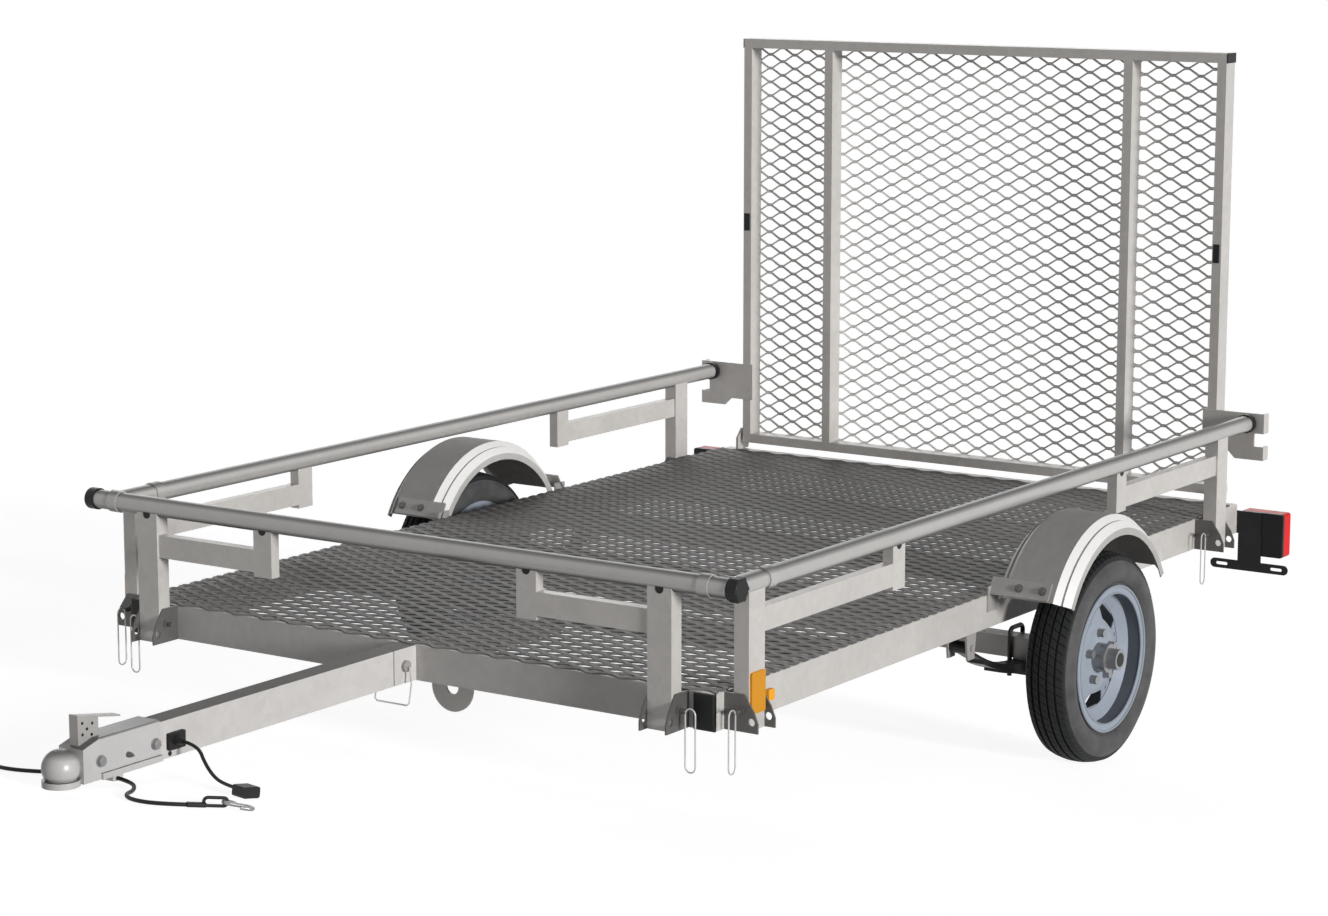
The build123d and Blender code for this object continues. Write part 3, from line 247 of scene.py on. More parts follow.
def lens(name, colour, rib_scale):
    """Coloured lamp plastic with moulded ribs, which a greater scale makes narrower, and painted shade
    in the grooves.
    """
    n = Nodes(name)
    wave = n.texture("ShaderNodeTexWave", rib_scale, Distortion=0.0)
    tones = (shade(colour, LENS_GROOVE_PAINTED_SHADE), colour)
    n.link(n.ramp(wave.outputs["Fac"], LENS_STOPS, tones), n.shader.inputs["Base Color"])
    n.shader.inputs["Roughness"].default_value = LENS_ROUGHNESS
    n.shader.inputs["Specular IOR Level"].default_value = LENS_GLOSS
    n.bump(wave.outputs["Fac"], strength=0.35, distance=0.0006)
    return n.material


GALVANISED = metal_sheet("galvanised", (0.60, 0.575, 0.55), metallic=0.15, roughness=0.45)
# A dark copy of the galvanised steel: painted shade on the crossmembers, sockets, pins, fender bolts and
# wedge
GALVANISED_PAINTED_SHADE = metal_sheet("galvanised_dark", (0.13, 0.125, 0.12), metallic=0.30, roughness=0.45)
# A darker copy of the galvanised steel: painted shade on the axle, hangers, latch, receiver pin and
# straps
GALVANISED_GREY_PAINTED_SHADE = metal_sheet("galvanised_grey", (0.40, 0.385, 0.37), metallic=0.20, roughness=0.45)
# Tops and undersides of the tongue darkened by painted shade
TONGUE_STEEL = metal_sheet("tongue_steel", (0.62, 0.60, 0.58), metallic=0.0, roughness=0.60,
                           gloss=0.04, painted_shade=0.45)
# A darker copy of the galvanised steel: painted shade on the front crossmember
FRONT_STEEL_PAINTED_SHADE = metal_sheet("front_steel", (0.53, 0.515, 0.50), metallic=0.10, roughness=0.50, gloss=0.30)
# The fender sheet as a darker copy of the galvanised steel, painted shade, and its bevels as a
# near-white copy, a painted highlight
FENDER_STEEL_PAINTED_SHADE = metal_sheet("fender_steel", (0.50, 0.485, 0.47), metallic=0.0, roughness=0.60, gloss=0.04)
FENDER_PAINTED_HIGHLIGHT = metal_sheet("fender_bevels", (0.93, 0.92, 0.91), metallic=0.05, roughness=0.50,
                            mottle=0.03)
# A dark copy of the galvanised steel: painted shade on the deck's expanded metal
DECK_STEEL_PAINTED_SHADE = metal_sheet("deck_steel", (0.135, 0.13, 0.125), metallic=0.15, roughness=0.55,
                         mottle=0.25, crystal_scale=90.0)
# A light copy of the galvanised steel: painted light on the gate's strands, whose seen faces lie in
# shade
GATE_STEEL_PAINTED_LIGHT = metal_sheet("gate_steel", (0.82, 0.80, 0.78), metallic=0.05, roughness=0.60,
                         mottle=0.12, crystal_scale=90.0)
# Tops and undersides of the rail tubes and collars darkened by painted shade
TUBE_STEEL = metal_sheet("tube_steel", (0.50, 0.485, 0.47), metallic=0.30, roughness=0.32,
                         mottle=0.05, gloss=0.30, painted_shade=0.20)
# Tops and undersides of the coupler darkened by painted shade
COUPLER_ZINC = metal_sheet("coupler_plating", (0.56, 0.55, 0.54), metallic=0.08, roughness=0.34,
                           mottle=0.06, gloss=0.20, painted_shade=0.30)
ZINC = metal_sheet("zinc", (0.30, 0.30, 0.305), metallic=0.60, roughness=0.32)
WIRE = metal_sheet("bright_wire", (0.62, 0.61, 0.60), metallic=0.40, roughness=0.35)
# Rim paint with painted shade on faces that don't look along the axle, as in the barrel
RIM_PAINT = metal_sheet("rim_paint", (0.34, 0.38, 0.44), metallic=0.06, roughness=0.45,
                        mottle=0.05, gloss=0.08, painted_shade=0.42, painted_shade_sides=PAINTED_SHADE_OFF_AXLE_SIDES)
WHEEL_SILVER = metal_sheet("wheel_paint", (0.29, 0.325, 0.375), metallic=0.45, roughness=0.32,
                           mottle=0.05)
BLACK_PLASTIC = plastic("black_moulding", (0.008, 0.008, 0.009), roughness=0.45)
BLACK_STEEL = plastic("black_paint", (0.018, 0.018, 0.019), roughness=0.38)
CABLE_BLACK = plastic("cable_jacket", (0.010, 0.010, 0.010), roughness=0.42)
TYRE_RUBBER = plastic("tyre_rubber", (0.020, 0.021, 0.022), roughness=0.72, wear=0.35)
TYRE_WALL = plastic("tyre_sidewall", (0.082, 0.082, 0.083), roughness=0.60, wear=0.30)
RED_LENS = lens("red_lens", (0.78, 0.003, 0.004), rib_scale=60.0)
AMBER_LENS = lens("amber_lens", (1.0, 0.43, 0.03), rib_scale=90.0)

SLOT_MATERIALS = {
    "galvanised": GALVANISED, "black_plastic": BLACK_PLASTIC, "tyre": TYRE_RUBBER,
    "wheel_silver": WHEEL_SILVER, "black_steel": BLACK_STEEL, "zinc_plated": ZINC,
    "cable_black": CABLE_BLACK, "red_lens": RED_LENS, "amber_lens": AMBER_LENS,
}
# Nodes whose material differs from their slot's; several are darker copies of the galvanised steel or
# carry painted shade on some sides
NODE_MATERIALS = {
    "rail_sockets": GALVANISED_PAINTED_SHADE, "deck_crossmembers": GALVANISED_PAINTED_SHADE, "rail_pins": GALVANISED_PAINTED_SHADE,
    "axle_beam": GALVANISED_GREY_PAINTED_SHADE, "spring_hangers": GALVANISED_GREY_PAINTED_SHADE, "coupler_latch": GALVANISED_GREY_PAINTED_SHADE,
    "receiver_pin": GALVANISED_GREY_PAINTED_SHADE, "spring_clamps": BLACK_STEEL, "lamp_brackets": BLACK_STEEL,
    "rail_tubes": TUBE_STEEL, "rail_collars": TUBE_STEEL, "front_crossmember": FRONT_STEEL_PAINTED_SHADE,
    "tongue": TONGUE_STEEL, "tongue_receiver": TONGUE_STEEL, "coupler": COUPLER_ZINC,
    "rim_left": RIM_PAINT, "rim_right": RIM_PAINT,
}


def dress_nodes():
    """Every carried-over node gets its own material, several of them with painted shade, or the material
    of its slot.
    """
    slots = {part["node"]: part["material_slot"] for part in record["subparts"]}
    for name, piece in frame["nodes"].items():
        material = NODE_MATERIALS.get(name, SLOT_MATERIALS[slots[name]])
        if not piece.material_slots:
            piece.data.materials.append(material)
        for holder in piece.material_slots:
            holder.material = material


# Building pieces
SHARP_ANGLE = 32.0
SPUN_SIDES = 24
WIRE_SIDES = 8


def around(count):
    """Angles evenly spaced round a full turn."""
    return [FULL_TURN * k / count for k in range(count)]


class Shape:
    """Points and faces that grow by simple forms."""

    def __init__(self):
        self.points, self.faces = [], []

    def grid(self, rows, close_rows=False, close_columns=False):
        """Faces over rows of points, each row as long as the next."""
        start, width = len(self.points), len(rows[0])
        for row in rows:
            self.points += row
        for i in range(len(rows) if close_rows else len(rows) - 1):
            for j in range(width if close_columns else width - 1):
                a, b = start + i * width, start + (i + 1) % len(rows) * width
                k = (j + 1) % width
                self.faces.append((a + j, a + k, b + k, b + j))
        return start

    def bar(self, sections):
        """A closed solid through sections that all have the same number of points."""
        start = self.grid(sections, close_columns=True)
        width = len(sections[0])
        self.faces.append(tuple(range(start + width - 1, start - 1, -1)))
        last = start + (len(sections) - 1) * width
        self.faces.append(tuple(range(last, last + width)))

    def spun(self, centre, axis, profile, count=SPUN_SIDES):
        """A solid turned about an axis: profile holds (along, radius) pairs."""
        along = Vector(axis).normalized()
        side = along.orthogonal().normalized()
        other = along.cross(side)
        sections = []
        for distance, radius in profile:
            middle = Vector(centre) + along * distance
            sections.append([tuple(middle + (side * math.cos(angle) + other * math.sin(angle)) * radius)
                             for angle in around(count)])
        self.bar(sections)

    def wire(self, route, radius, closed=False):
        """A round wire through points, turned to the plane of the first three, a loop where closed."""
        points = [Vector(point) for point in route]
        if closed:
            points = points + points[:1]
        last = len(points) - 1
        plane = (points[1] - points[0]).cross(points[2] - points[1]).normalized()
        sections = []
        for k, point in enumerate(points):
            before = points[-2] if closed and k == 0 else points[max(k - 1, 0)]
            after = points[1] if closed and k == last else points[min(k + 1, last)]
            side = (after - before).normalized().cross(plane).normalized()
            sections.append([tuple(point + (side * math.cos(angle) + plane * math.sin(angle)) * radius)
                             for angle in around(WIRE_SIDES)])
        self.bar(sections)

    def placed(self, place, turned=False):
        """A copy with each point moved by a function, its faces turned over where asked."""
        copy = Shape()
        copy.points = [place(*point) for point in self.points]
        copy.faces = [tuple(reversed(face)) for face in self.faces] if turned else self.faces
        return copy


def make_piece(name, shape, material, body, smooth=True):
    """A mesh piece from a level shape, carried to its parked place, riding on a body."""
    mesh = bpy.data.meshes.new(name)
    mesh.from_pydata([PARK @ Vector(point) for point in shape.points], [], shape.faces)
    mesh.materials.append(material)
    if smooth:
        mesh.shade_smooth()
        mesh.set_sharp_from_angle(angle=math.radians(SHARP_ANGLE))
    piece = bpy.data.objects.new(name, mesh)
    bpy.context.scene.collection.objects.link(piece)
    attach(piece, body)
    return piece


# Bolts
WASHER_THICKNESS = 2.0
WASHER_CHAMFER = 0.4
WASHER_SIDES = 28
HEXAGON = 6
HEAD_SHOULDER_SHARE = 0.8
HEAD_TOP_SHARE = 0.85


def bolt(shape, centre, axis, width, height, washer):
    """A hexagon head with a chamfered top on a round washer."""
    shape.spun(centre, axis, [(0, washer), (WASHER_THICKNESS - WASHER_CHAMFER, washer),
                              (WASHER_THICKNESS, washer - WASHER_CHAMFER)], WASHER_SIDES)
    radius = width / math.sqrt(3)
    shape.spun(centre, axis, [(WASHER_THICKNESS, radius),
                              (WASHER_THICKNESS + height * HEAD_SHOULDER_SHARE, radius),
                              (WASHER_THICKNESS + height, radius * HEAD_TOP_SHARE)], HEXAGON)


COUPLER_FACE = 31.0
COUPLER_BOLT_PLACES = (-2165.0, -2017.6)
COUPLER_BOLT_HEIGHT = 381.5
COUPLER_BOLT_WIDTH = 17.0
COUPLER_BOLT_WASHER = 12.0
COUPLER_BOLT_ENDS = (
    # side, height of the head or nut
    (1, 7.0),
    (-1, 8.0),
)


def coupler_bolts():
    """Hexagon heads on the coupler's left side and nuts on its right one."""
    shape = Shape()
    for side, height in COUPLER_BOLT_ENDS:
        for place in COUPLER_BOLT_PLACES:
            bolt(shape, (side * COUPLER_FACE, place, COUPLER_BOLT_HEIGHT), (side, 0, 0),
                 COUPLER_BOLT_WIDTH, height, COUPLER_BOLT_WASHER)
    piece = make_piece("coupler_hex_bolts", shape, ZINC, "chassis")
    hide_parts("coupler_bolts")


# Expanded metal
MESH_LONG = 79.0
MESH_SHORT = 38.0
MESH_BOND = 13.0
MESH_LEAN = 2.2
MESH_GAUGE = 2.2
DECK_HALF_STRAND = 4.7
DECK_SIDE_MARGIN = 1.0
GATE_HALF_STRAND = 2.7
GATE_MESH_MARGIN = 6.0


def clipped(route, x_half):
    """The part of a zig-zag that lies between -x_half and x_half."""
    kept = []
    for (x0, y0), (x1, y1) in zip(route, route[1:]):
        if x1 <= -x_half or x0 >= x_half:
            continue
        if x0 < -x_half:
            y0 += (y1 - y0) * (-x_half - x0) / (x1 - x0)
            x0 = -x_half
        if not kept:
            kept.append((x0, y0))
        if x1 > x_half:
            y1 = y0 + (y1 - y0) * (x_half - x0) / (x1 - x0)
            x1 = x_half
        kept.append((x1, y1))
    return kept


def expanded_metal(x_half, y_half, half_strand):
    """Raised expanded metal in the XY plane: zig-zag strands that meet in flat bonds."""
    shape = Shape()
    lines = int(2 * y_half / (MESH_SHORT / 2))
    halves = math.ceil(x_half / (MESH_LONG / 2)) + 1
    for line in range(lines):
        base = -y_half + line * MESH_SHORT / 2
        route = []
        for k in range(-halves, halves + 1):
            high = (k + line) % 2
            y = base + (high * MESH_SHORT / 2) + (-1 if high else 1) * half_strand / 2
            middle = k * MESH_LONG / 2
            route += [(middle - MESH_BOND / 2, y), (middle + MESH_BOND / 2, y)]
        sections = []
        for x, y in clipped(route, x_half):
            front, back = y - half_strand, y + half_strand
            sections.append([(x, front, 0.0), (x, back, MESH_LEAN),
                             (x, back, MESH_LEAN + MESH_GAUGE), (x, front, MESH_GAUGE)])
        shape.bar(sections)
    return shape


def deck_metal():
    """The deck's sheet, flat on the frame in front of the rear sill."""
    low, high = -BED_HALF_LENGTH + DECK_SIDE_MARGIN / 2, BED_HALF_LENGTH - SILL_WIDTH
    middle = (low + high) / 2
    sheet = expanded_metal(BED_HALF_WIDTH - DECK_SIDE_MARGIN, (high - low) / 2, DECK_HALF_STRAND)
    deck = sheet.placed(lambda x, y, z: (x, y + middle, z + DECK_TOP))
    piece = make_piece("deck_expanded_metal", deck, DECK_STEEL_PAINTED_SHADE, "chassis", smooth=False)
    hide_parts("deck_mesh")


def gate_metal():
    """The gate's sheet, upright on the back of its tubes."""
    low, high = GATE_LOW + GATE_MESH_MARGIN, GATE_TOP - GATE_MESH_MARGIN
    middle = (low + high) / 2
    sheet = expanded_metal(GATE_HALF_WIDTH - GATE_MESH_MARGIN, (high - low) / 2, GATE_HALF_STRAND)
    gate = sheet.placed(lambda x, y, z: (x, GATE_BACK + z, y + middle), turned=True)
    piece = make_piece("gate_expanded_metal", gate, GATE_STEEL_PAINTED_LIGHT, "gate", smooth=False)
    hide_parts("gate_mesh")


# Tyres
TREAD_HALF = 45.0
SHOULDER_RADIUS = 236.0
SECTION_HALF = 59.0
BEAD_RADIUS = 154.3
BEAD_WALL = 174.5
BEAD_HALF = 45.2
GROOVE_DEPTH = 6.0
GROOVE_PLACES = (-44.0, -30.0, -15.0, 0.0, 15.0, 30.0, 44.0)
WALL_TOP = 229.0
WALL_STEPS = 15
WALL_REACH = 1.02
WALL_ROUNDNESS = 0.7
WALL_RIDGES = (4, 11)
RIDGE_HEIGHT = 0.9
SHOULDER_LEDGE = 1.0
SHOULDER_RISE = 2.0
TYRE_SEGMENTS = 152
RIBS = ((-45.0, -31.0), (-25.5, -12.5), (-7.5, 7.5), (12.5, 25.5), (31.0, 45.0))
BLOCKS = 76
SIPE_SHARE = 0.10
RIB_SKEW = 0.035
BLOCK_ROOT = 1.0
BLOCK_EDGE = 0.5
BLOCK_EDGE_TURN = 0.002
BLOCK_INSET = 0.6


def crown(x):
    """Radius of the tread's surface at a place across it."""
    drop = TYRE_RADIUS - SHOULDER_RADIUS
    round_radius = (TREAD_HALF ** 2 + drop ** 2) / (2 * drop)
    return TYRE_RADIUS - round_radius + math.sqrt(round_radius ** 2 - x ** 2)


def wall_profile():
    """One sidewall from the bead to the tread: (across, radius) pairs."""
    top = SHOULDER_RADIUS - GROOVE_DEPTH
    profile = [(BEAD_HALF, BEAD_RADIUS), (BEAD_HALF, BEAD_WALL)]
    for k in range(1, WALL_STEPS):
        share = k / WALL_STEPS
        bulge = math.sin(math.pi * min(1.0, share * WALL_REACH)) ** WALL_ROUNDNESS
        ridge = RIDGE_HEIGHT if k in WALL_RIDGES else 0.0
        profile.append((BEAD_HALF + (SECTION_HALF - BEAD_HALF) * bulge + ridge,
                        BEAD_WALL + (top - BEAD_WALL) * share))
    profile.append((TREAD_HALF + SHOULDER_LEDGE, top + SHOULDER_RISE))
    return profile


def tread_block(rib, block):
    """Two end sections of one tread block, as (across, turn, radius) points."""
    start = FULL_TURN * (block + 0.5 * (rib % 2)) / BLOCKS
    end = start + FULL_TURN / BLOCKS * (1 - SIPE_SHARE)
    sections = []
    for x, lean, inward in ((RIBS[rib][0], 0.0, 1), (RIBS[rib][1], RIB_SKEW, -1)):
        low, high = crown(x) - GROOVE_DEPTH - BLOCK_ROOT, crown(x)
        top_x = x if abs(x) == TREAD_HALF else x + inward * BLOCK_INSET
        sections.append([(x, start + lean, low), (x, start + lean, high - BLOCK_EDGE),
                         (top_x, start + BLOCK_EDGE_TURN + lean, high),
                         (top_x, end - BLOCK_EDGE_TURN + lean, high),
                         (x, end + lean, high - BLOCK_EDGE), (x, end + lean, low)])
    return sections


def rolled(points):
    """Points given as (across, turn, radius), set round the wheel's axis."""
    return [(x, radius * math.cos(turn), radius * math.sin(turn)) for x, turn, radius in points]


def tyre(side, name):
    """A trailer tyre: moulded walls and a tread of ribs cut into blocks."""
    half = wall_profile()
    across = [(x, crown(x) - GROOVE_DEPTH) for x in GROOVE_PLACES]
    profile = [(-x, radius) for x, radius in half] + across + list(reversed(half))
    shape = Shape()
    shape.grid([rolled((x, turn, radius) for turn in around(TYRE_SEGMENTS)) for x, radius in profile],
               close_rows=True, close_columns=True)
    for rib in range(len(RIBS)):
        for block in range(BLOCKS):
            shape.bar([rolled(section) for section in tread_block(rib, block)])
    wheel = shape.placed(lambda x, y, z: (side * (WHEEL_PLACE + x), AXLE[0] + y, AXLE[1] + z),
                         turned=side > 0)
    piece = make_piece("tyre_tread_" + name, wheel, TYRE_RUBBER, "wheel_" + name)
    piece.data.materials.append(TYRE_WALL)
    for polygon in piece.data.polygons:
        if all(math.hypot(*shape.points[k][1:]) < WALL_TOP for k in polygon.vertices):
            polygon.material_index = 1
    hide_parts("tyre_" + name)


# Wiring lead and safety cables, with their routes in parked millimetres as in the CAD
LEAD_ROUTE = ((47.5, -1446.0, 74.0), (85.0, -1447.0, 72.0), (108.0, -1449.0, 40.0),
              (140.0, -1454.0, 18.0), (176.0, -1461.0, 11.5), (212.0, -1471.0, 11.5))
LEFT_CABLE_ROUTE = ((16.4, -1588.8, 11.0), (58.0, -1590.0, 8.6), (100.0, -1630.0, 4.6),
                    (125.0, -1684.0, 4.6), (170.0, -1712.0, 4.6), (222.0, -1700.0, 4.6),
                    (255.0, -1658.0, 4.6))
RIGHT_CABLE_ROUTE = ((-16.6, -1589.0, 11.0), (-62.0, -1585.0, 7.0), (-108.0, -1605.0, 4.6),
                     (-140.0, -1648.0, 4.6), (-186.0, -1676.0, 4.6), (-238.0, -1668.0, 4.6),
                     (-282.0, -1640.0, 4.6))
LEAD_DIAMETER = 7.0
CABLE_DIAMETER = 8.0
CORD_ORDER = 3
CORD_ROUNDNESS = 5
CORD_STEPS = 16


def free_cord(name, node, route, diameter):
    """A cord along a route's control points, standing for its CAD tube."""
    curve = bpy.data.curves.new(name, "CURVE")
    curve.dimensions = "3D"
    curve.bevel_depth = diameter / 2 * MM
    curve.bevel_resolution = CORD_ROUNDNESS
    curve.use_fill_caps = True
    spline = curve.splines.new("NURBS")
    spline.points.add(len(route) - 1)
    for point, place in zip(spline.points, route):
        point.co = (*[value * MM for value in place], 1.0)
    spline.order_u = CORD_ORDER
    spline.use_endpoint_u = True
    spline.resolution_u = CORD_STEPS
    curve.materials.append(CABLE_BLACK)
    piece = bpy.data.objects.new(name, curve)
    bpy.context.scene.collection.objects.link(piece)
    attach(piece, "chassis")
    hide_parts(node)


def cords():
    """The wiring lead and the two safety cables, on the ground beside the tongue."""
    free_cord("lead_cord", "wiring_lead", LEAD_ROUTE, LEAD_DIAMETER)
    free_cord("cable_left", "safety_cable_left", LEFT_CABLE_ROUTE, CABLE_DIAMETER)
    free_cord("cable_right", "safety_cable_right", RIGHT_CABLE_ROUTE, CABLE_DIAMETER)


# Fenders
FENDER_MIDDLE = 883.0
FENDER_CENTRE = (150.0, 287.0)
FENDER_HALF_ANGLE = 63.0
FENDER_STEPS = 54
FENDER_SECTION = (
    # across from the middle, radius: crown, two bevels with a step between and the edge, then the inside
    (59.0, 290.0), (73.0, 277.0), (78.0, 277.0), (93.0, 262.0), (93.0, 246.0),
    (90.5, 246.0), (90.5, 261.0), (77.0, 274.5), (72.0, 274.5), (58.0, 287.5),
)
# The first points of the two bevels in the section
FENDER_BEVELS = (0, 2)
STRAP_ANGLE = 58.5
STRAP_WIDTH = 42.0
STRAP_THICKNESS = 4.0
STRAP_END = 930.0
STRAP_FOOT = DECK_TOP - RAIL_DEPTH / 2
STRAP_BOLTS = (853.0, 912.0)
STRAP_BOLT_WIDTH = 14.0
STRAP_BOLT_HEIGHT = 5.0
STRAP_BOLT_WASHER = 10.0


def arch_point(turn, radius):
    """Y and Z at a radius of the fender's arch, the turn in radians rearwards from its top."""
    return FENDER_CENTRE[0] + radius * math.sin(turn), FENDER_CENTRE[1] + radius * math.cos(turn)


def fender(side, name):
    """The arched fender with two bevels and a ledge between them along both edges, the sheet darker as
    painted shade and the bevels near white as a painted highlight.
    """
    section = list(FENDER_SECTION) + [(-x, radius) for x, radius in reversed(FENDER_SECTION)]
    half, whole = len(FENDER_SECTION), len(section)
    rows = []
    for k in range(FENDER_STEPS + 1):
        turn = math.radians(FENDER_HALF_ANGLE * (2 * k / FENDER_STEPS - 1))
        rows.append([(side * (FENDER_MIDDLE + x), *arch_point(turn, radius)) for x, radius in section])
    shape = Shape()
    shape.grid(rows, close_columns=True)
    for first in (0, FENDER_STEPS * whole):
        for k in range(half // 2 - 1):
            for outer in (first + k, first + half + k):
                inner = outer + half - 1 - 2 * k
                shape.faces.append((outer, outer + 1, inner - 1, inner))
        shape.faces.append((first, first + half - 1, first + half, first + whole - 1))
    piece = make_piece("fender_sheet_" + name, shape, FENDER_STEEL_PAINTED_SHADE, "chassis")
    piece.data.materials.append(FENDER_PAINTED_HIGHLIGHT)
    # The bevels take the painted highlight material
    bevels = [k for first in FENDER_BEVELS for k in (first, whole - 2 - first)]
    for polygon in piece.data.polygons[:FENDER_STEPS * whole]:
        if polygon.index % whole in bevels:
            polygon.material_index = 1
    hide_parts("fender_" + name)


def fender_strap(straps, heads, side, end):
    """A flat bar over a fender's end with a foot on the rail's face, and the bolts through it."""
    turn = math.radians(end * STRAP_ANGLE)
    out = Vector((0, math.sin(turn), math.cos(turn)))
    along = Vector((0, math.cos(turn), -math.sin(turn)))
    centre = Vector((0, *FENDER_CENTRE))
    half = STRAP_WIDTH / 2
    low, high = FENDER_SECTION[0][1], FENDER_SECTION[0][1] + STRAP_THICKNESS
    sections = []
    for x in (BED_HALF_WIDTH, STRAP_END):
        middle = centre + Vector((side * x, 0, 0))
        sections.append([tuple(middle + out * radius + along * offset)
                         for radius, offset in ((low, -half), (high, -half), (high, half), (low, half))])
    straps.bar(sections)
    y, z = arch_point(turn, low)
    x0, x1 = side * BED_HALF_WIDTH, side * (BED_HALF_WIDTH + STRAP_THICKNESS)
    corners = ((x0, y - half), (x1, y - half), (x1, y + half), (x0, y + half))
    straps.bar([[(*corner, height) for corner in corners] for height in (STRAP_FOOT, z)])
    for x in STRAP_BOLTS:
        place = centre + Vector((side * x, 0, 0)) + out * high
        bolt(heads, tuple(place), tuple(out), STRAP_BOLT_WIDTH, STRAP_BOLT_HEIGHT, STRAP_BOLT_WASHER)


def fender_straps():
    """The straps at both ends of both fenders."""
    straps, heads = Shape(), Shape()
    for side in (-1, 1):
        for end in (-1, 1):
            fender_strap(straps, heads, side, end)
    piece = make_piece("fender_flat_bars", straps, GALVANISED_GREY_PAINTED_SHADE, "chassis", smooth=False)
    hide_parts("fender_brackets")
    make_piece("fender_bolts", heads, GALVANISED_PAINTED_SHADE, "chassis")


# Wheels
RIM_RINGS = (
    # place along the axle from the wheel's middle, ring radius, wire radius
    (49.5, 168.0, 3.2),
    (49.0, 151.5, 2.2),
)
RIM_RING_SEGMENTS = 96
RIM_RING_SIDES = 10
CAP_END = 72.0
CAP_RADIUS = 16.0
CAP_HALF = 1.0
CAP_SIDES = 32


def wheel_details(side, name):
    """Rolled lips on the rim's outer face and the dark end of the grease cap."""
    rings = Shape()
    for x, ring, wire_radius in RIM_RINGS:
        sections = []
        for turn in around(RIM_RING_SEGMENTS):
            section = []
            for angle in around(RIM_RING_SIDES):
                radius = ring + wire_radius * math.sin(angle)
                section.append((side * (WHEEL_PLACE + x + wire_radius * math.cos(angle)),
                                AXLE[0] + radius * math.cos(turn), AXLE[1] + radius * math.sin(turn)))
            sections.append(section)
        rings.grid(sections, close_rows=True, close_columns=True)
    make_piece("rim_rings_" + name, rings, WHEEL_SILVER, "wheel_" + name)
    cap = Shape()
    cap.spun((side * (WHEEL_PLACE + CAP_END), *AXLE), (side, 0, 0),
             [(-CAP_HALF, CAP_RADIUS), (CAP_HALF, CAP_RADIUS)], CAP_SIDES)
    make_piece("cap_end_" + name, cap, BLACK_PLASTIC, "wheel_" + name)


# Small pieces of the rails
LEFT_SOCKETS = (
    # place of the post's middle, direction from it to its pin
    ((682.0, FRONT_LINE), (1, 0)),
    ((POST_LINE, -1158.0), (0, -1)),
    ((POST_LINE, 1000.0), (0, -1)),
)
CLIP_REACH = 62.0
CLIP_HALF = 12.0
CLIP_TOP = 380.0
CLIP_LOW = 274.0
CLIP_WIRE = 1.7
CLIP_STEPS = 8
FRONT_HOLES = (
    # place on the front face of a left post, repeated on the right
    (682.0, -1274.0, 630.0),
    (352.0, -1269.0, 628.0),
)
SIDE_HOLES = (
    # place on the left face of a side post, repeated on the right
    (831.0, -597.0, 622.0),
    (831.0, 446.0, 622.0),
)
POST_HOLE_PROFILE = ((-0.5, 10.0), (0.6, 10.0))
KNOB = (853.0, FRONT_LINE, 645.0)
KNOB_LOBES = 6
KNOB_REACH = 21.0
LOBE_PROFILE = ((-8.0, 6.0), (10.0, 6.0), (12.0, 4.5))
LOBE_SIDES = 16


def socket_clips():
    """Long wire loops that hang from the pins of the post sockets."""
    clips = Shape()
    for (x, y), (dx, dy) in LEFT_SOCKETS:
        for side in (1, -1):
            route = []
            for start, height in ((0.0, CLIP_TOP), (math.pi, CLIP_LOW)):
                for k in range(CLIP_STEPS + 1):
                    turn = start + math.pi * k / CLIP_STEPS
                    reach = CLIP_REACH + CLIP_HALF * math.cos(turn)
                    rise = height + CLIP_HALF * math.sin(turn)
                    route.append((side * (x + dx * reach), y + dy * reach, rise))
            clips.wire(route, CLIP_WIRE, closed=True)
    make_piece("socket_clips", clips, WIRE, "chassis")


def post_holes():
    """Black discs near the tops of the posts, painted shade standing for holes."""
    holes = Shape()
    for x, y, z in FRONT_HOLES:
        for side in (1, -1):
            holes.spun((side * x, y, z), (0, -1, 0), POST_HOLE_PROFILE)
    for side in (1, -1):
        for x, y, z in SIDE_HOLES:
            holes.spun((side * x, y, z), (side, 0, 0), POST_HOLE_PROFILE)
    make_piece("post_holes", holes, BLACK_PLASTIC, "chassis")


def knob_lobes():
    """Grips round the knob at the front tube's end."""
    lobes = Shape()
    for turn in around(KNOB_LOBES):
        centre = (KNOB[0], KNOB[1] + KNOB_REACH * math.cos(turn), KNOB[2] + KNOB_REACH * math.sin(turn))
        lobes.spun(centre, (1, 0, 0), LOBE_PROFILE, LOBE_SIDES)
    make_piece("knob_lobes", lobes, BLACK_PLASTIC, "chassis")


# Small pieces of the tongue
LEFT_BAIL = ((38.0, FRONT_LINE, 381.0), (44.0, -1259.0, 345.0), (46.0, -1270.0, 306.0),
             (40.0, -1271.0, 301.0))
BAIL_WIRE = 1.8
TONGUE_HOLES = (
    # centre on a face that looks to the left, radius
    ((25.0, -1972.0, 352.0), 5.0),
    ((11.0, -2190.0, 456.0), 3.0),
    ((11.0, -2164.0, 451.0), 3.0),
    ((11.0, -2190.0, 434.0), 3.0),
    ((11.0, -2166.0, 430.0), 3.0),
    ((11.0, -2178.0, 443.0), 3.0),
)
TONGUE_HOLE_HALF = 0.5
WEDGE = (COUPLER_FACE, -2092.0, 378.0)
WEDGE_PROFILE = ((-1.0, 6.0), (8.0, 5.0), (16.0, 1.5))
WEDGE_SIDES = 20


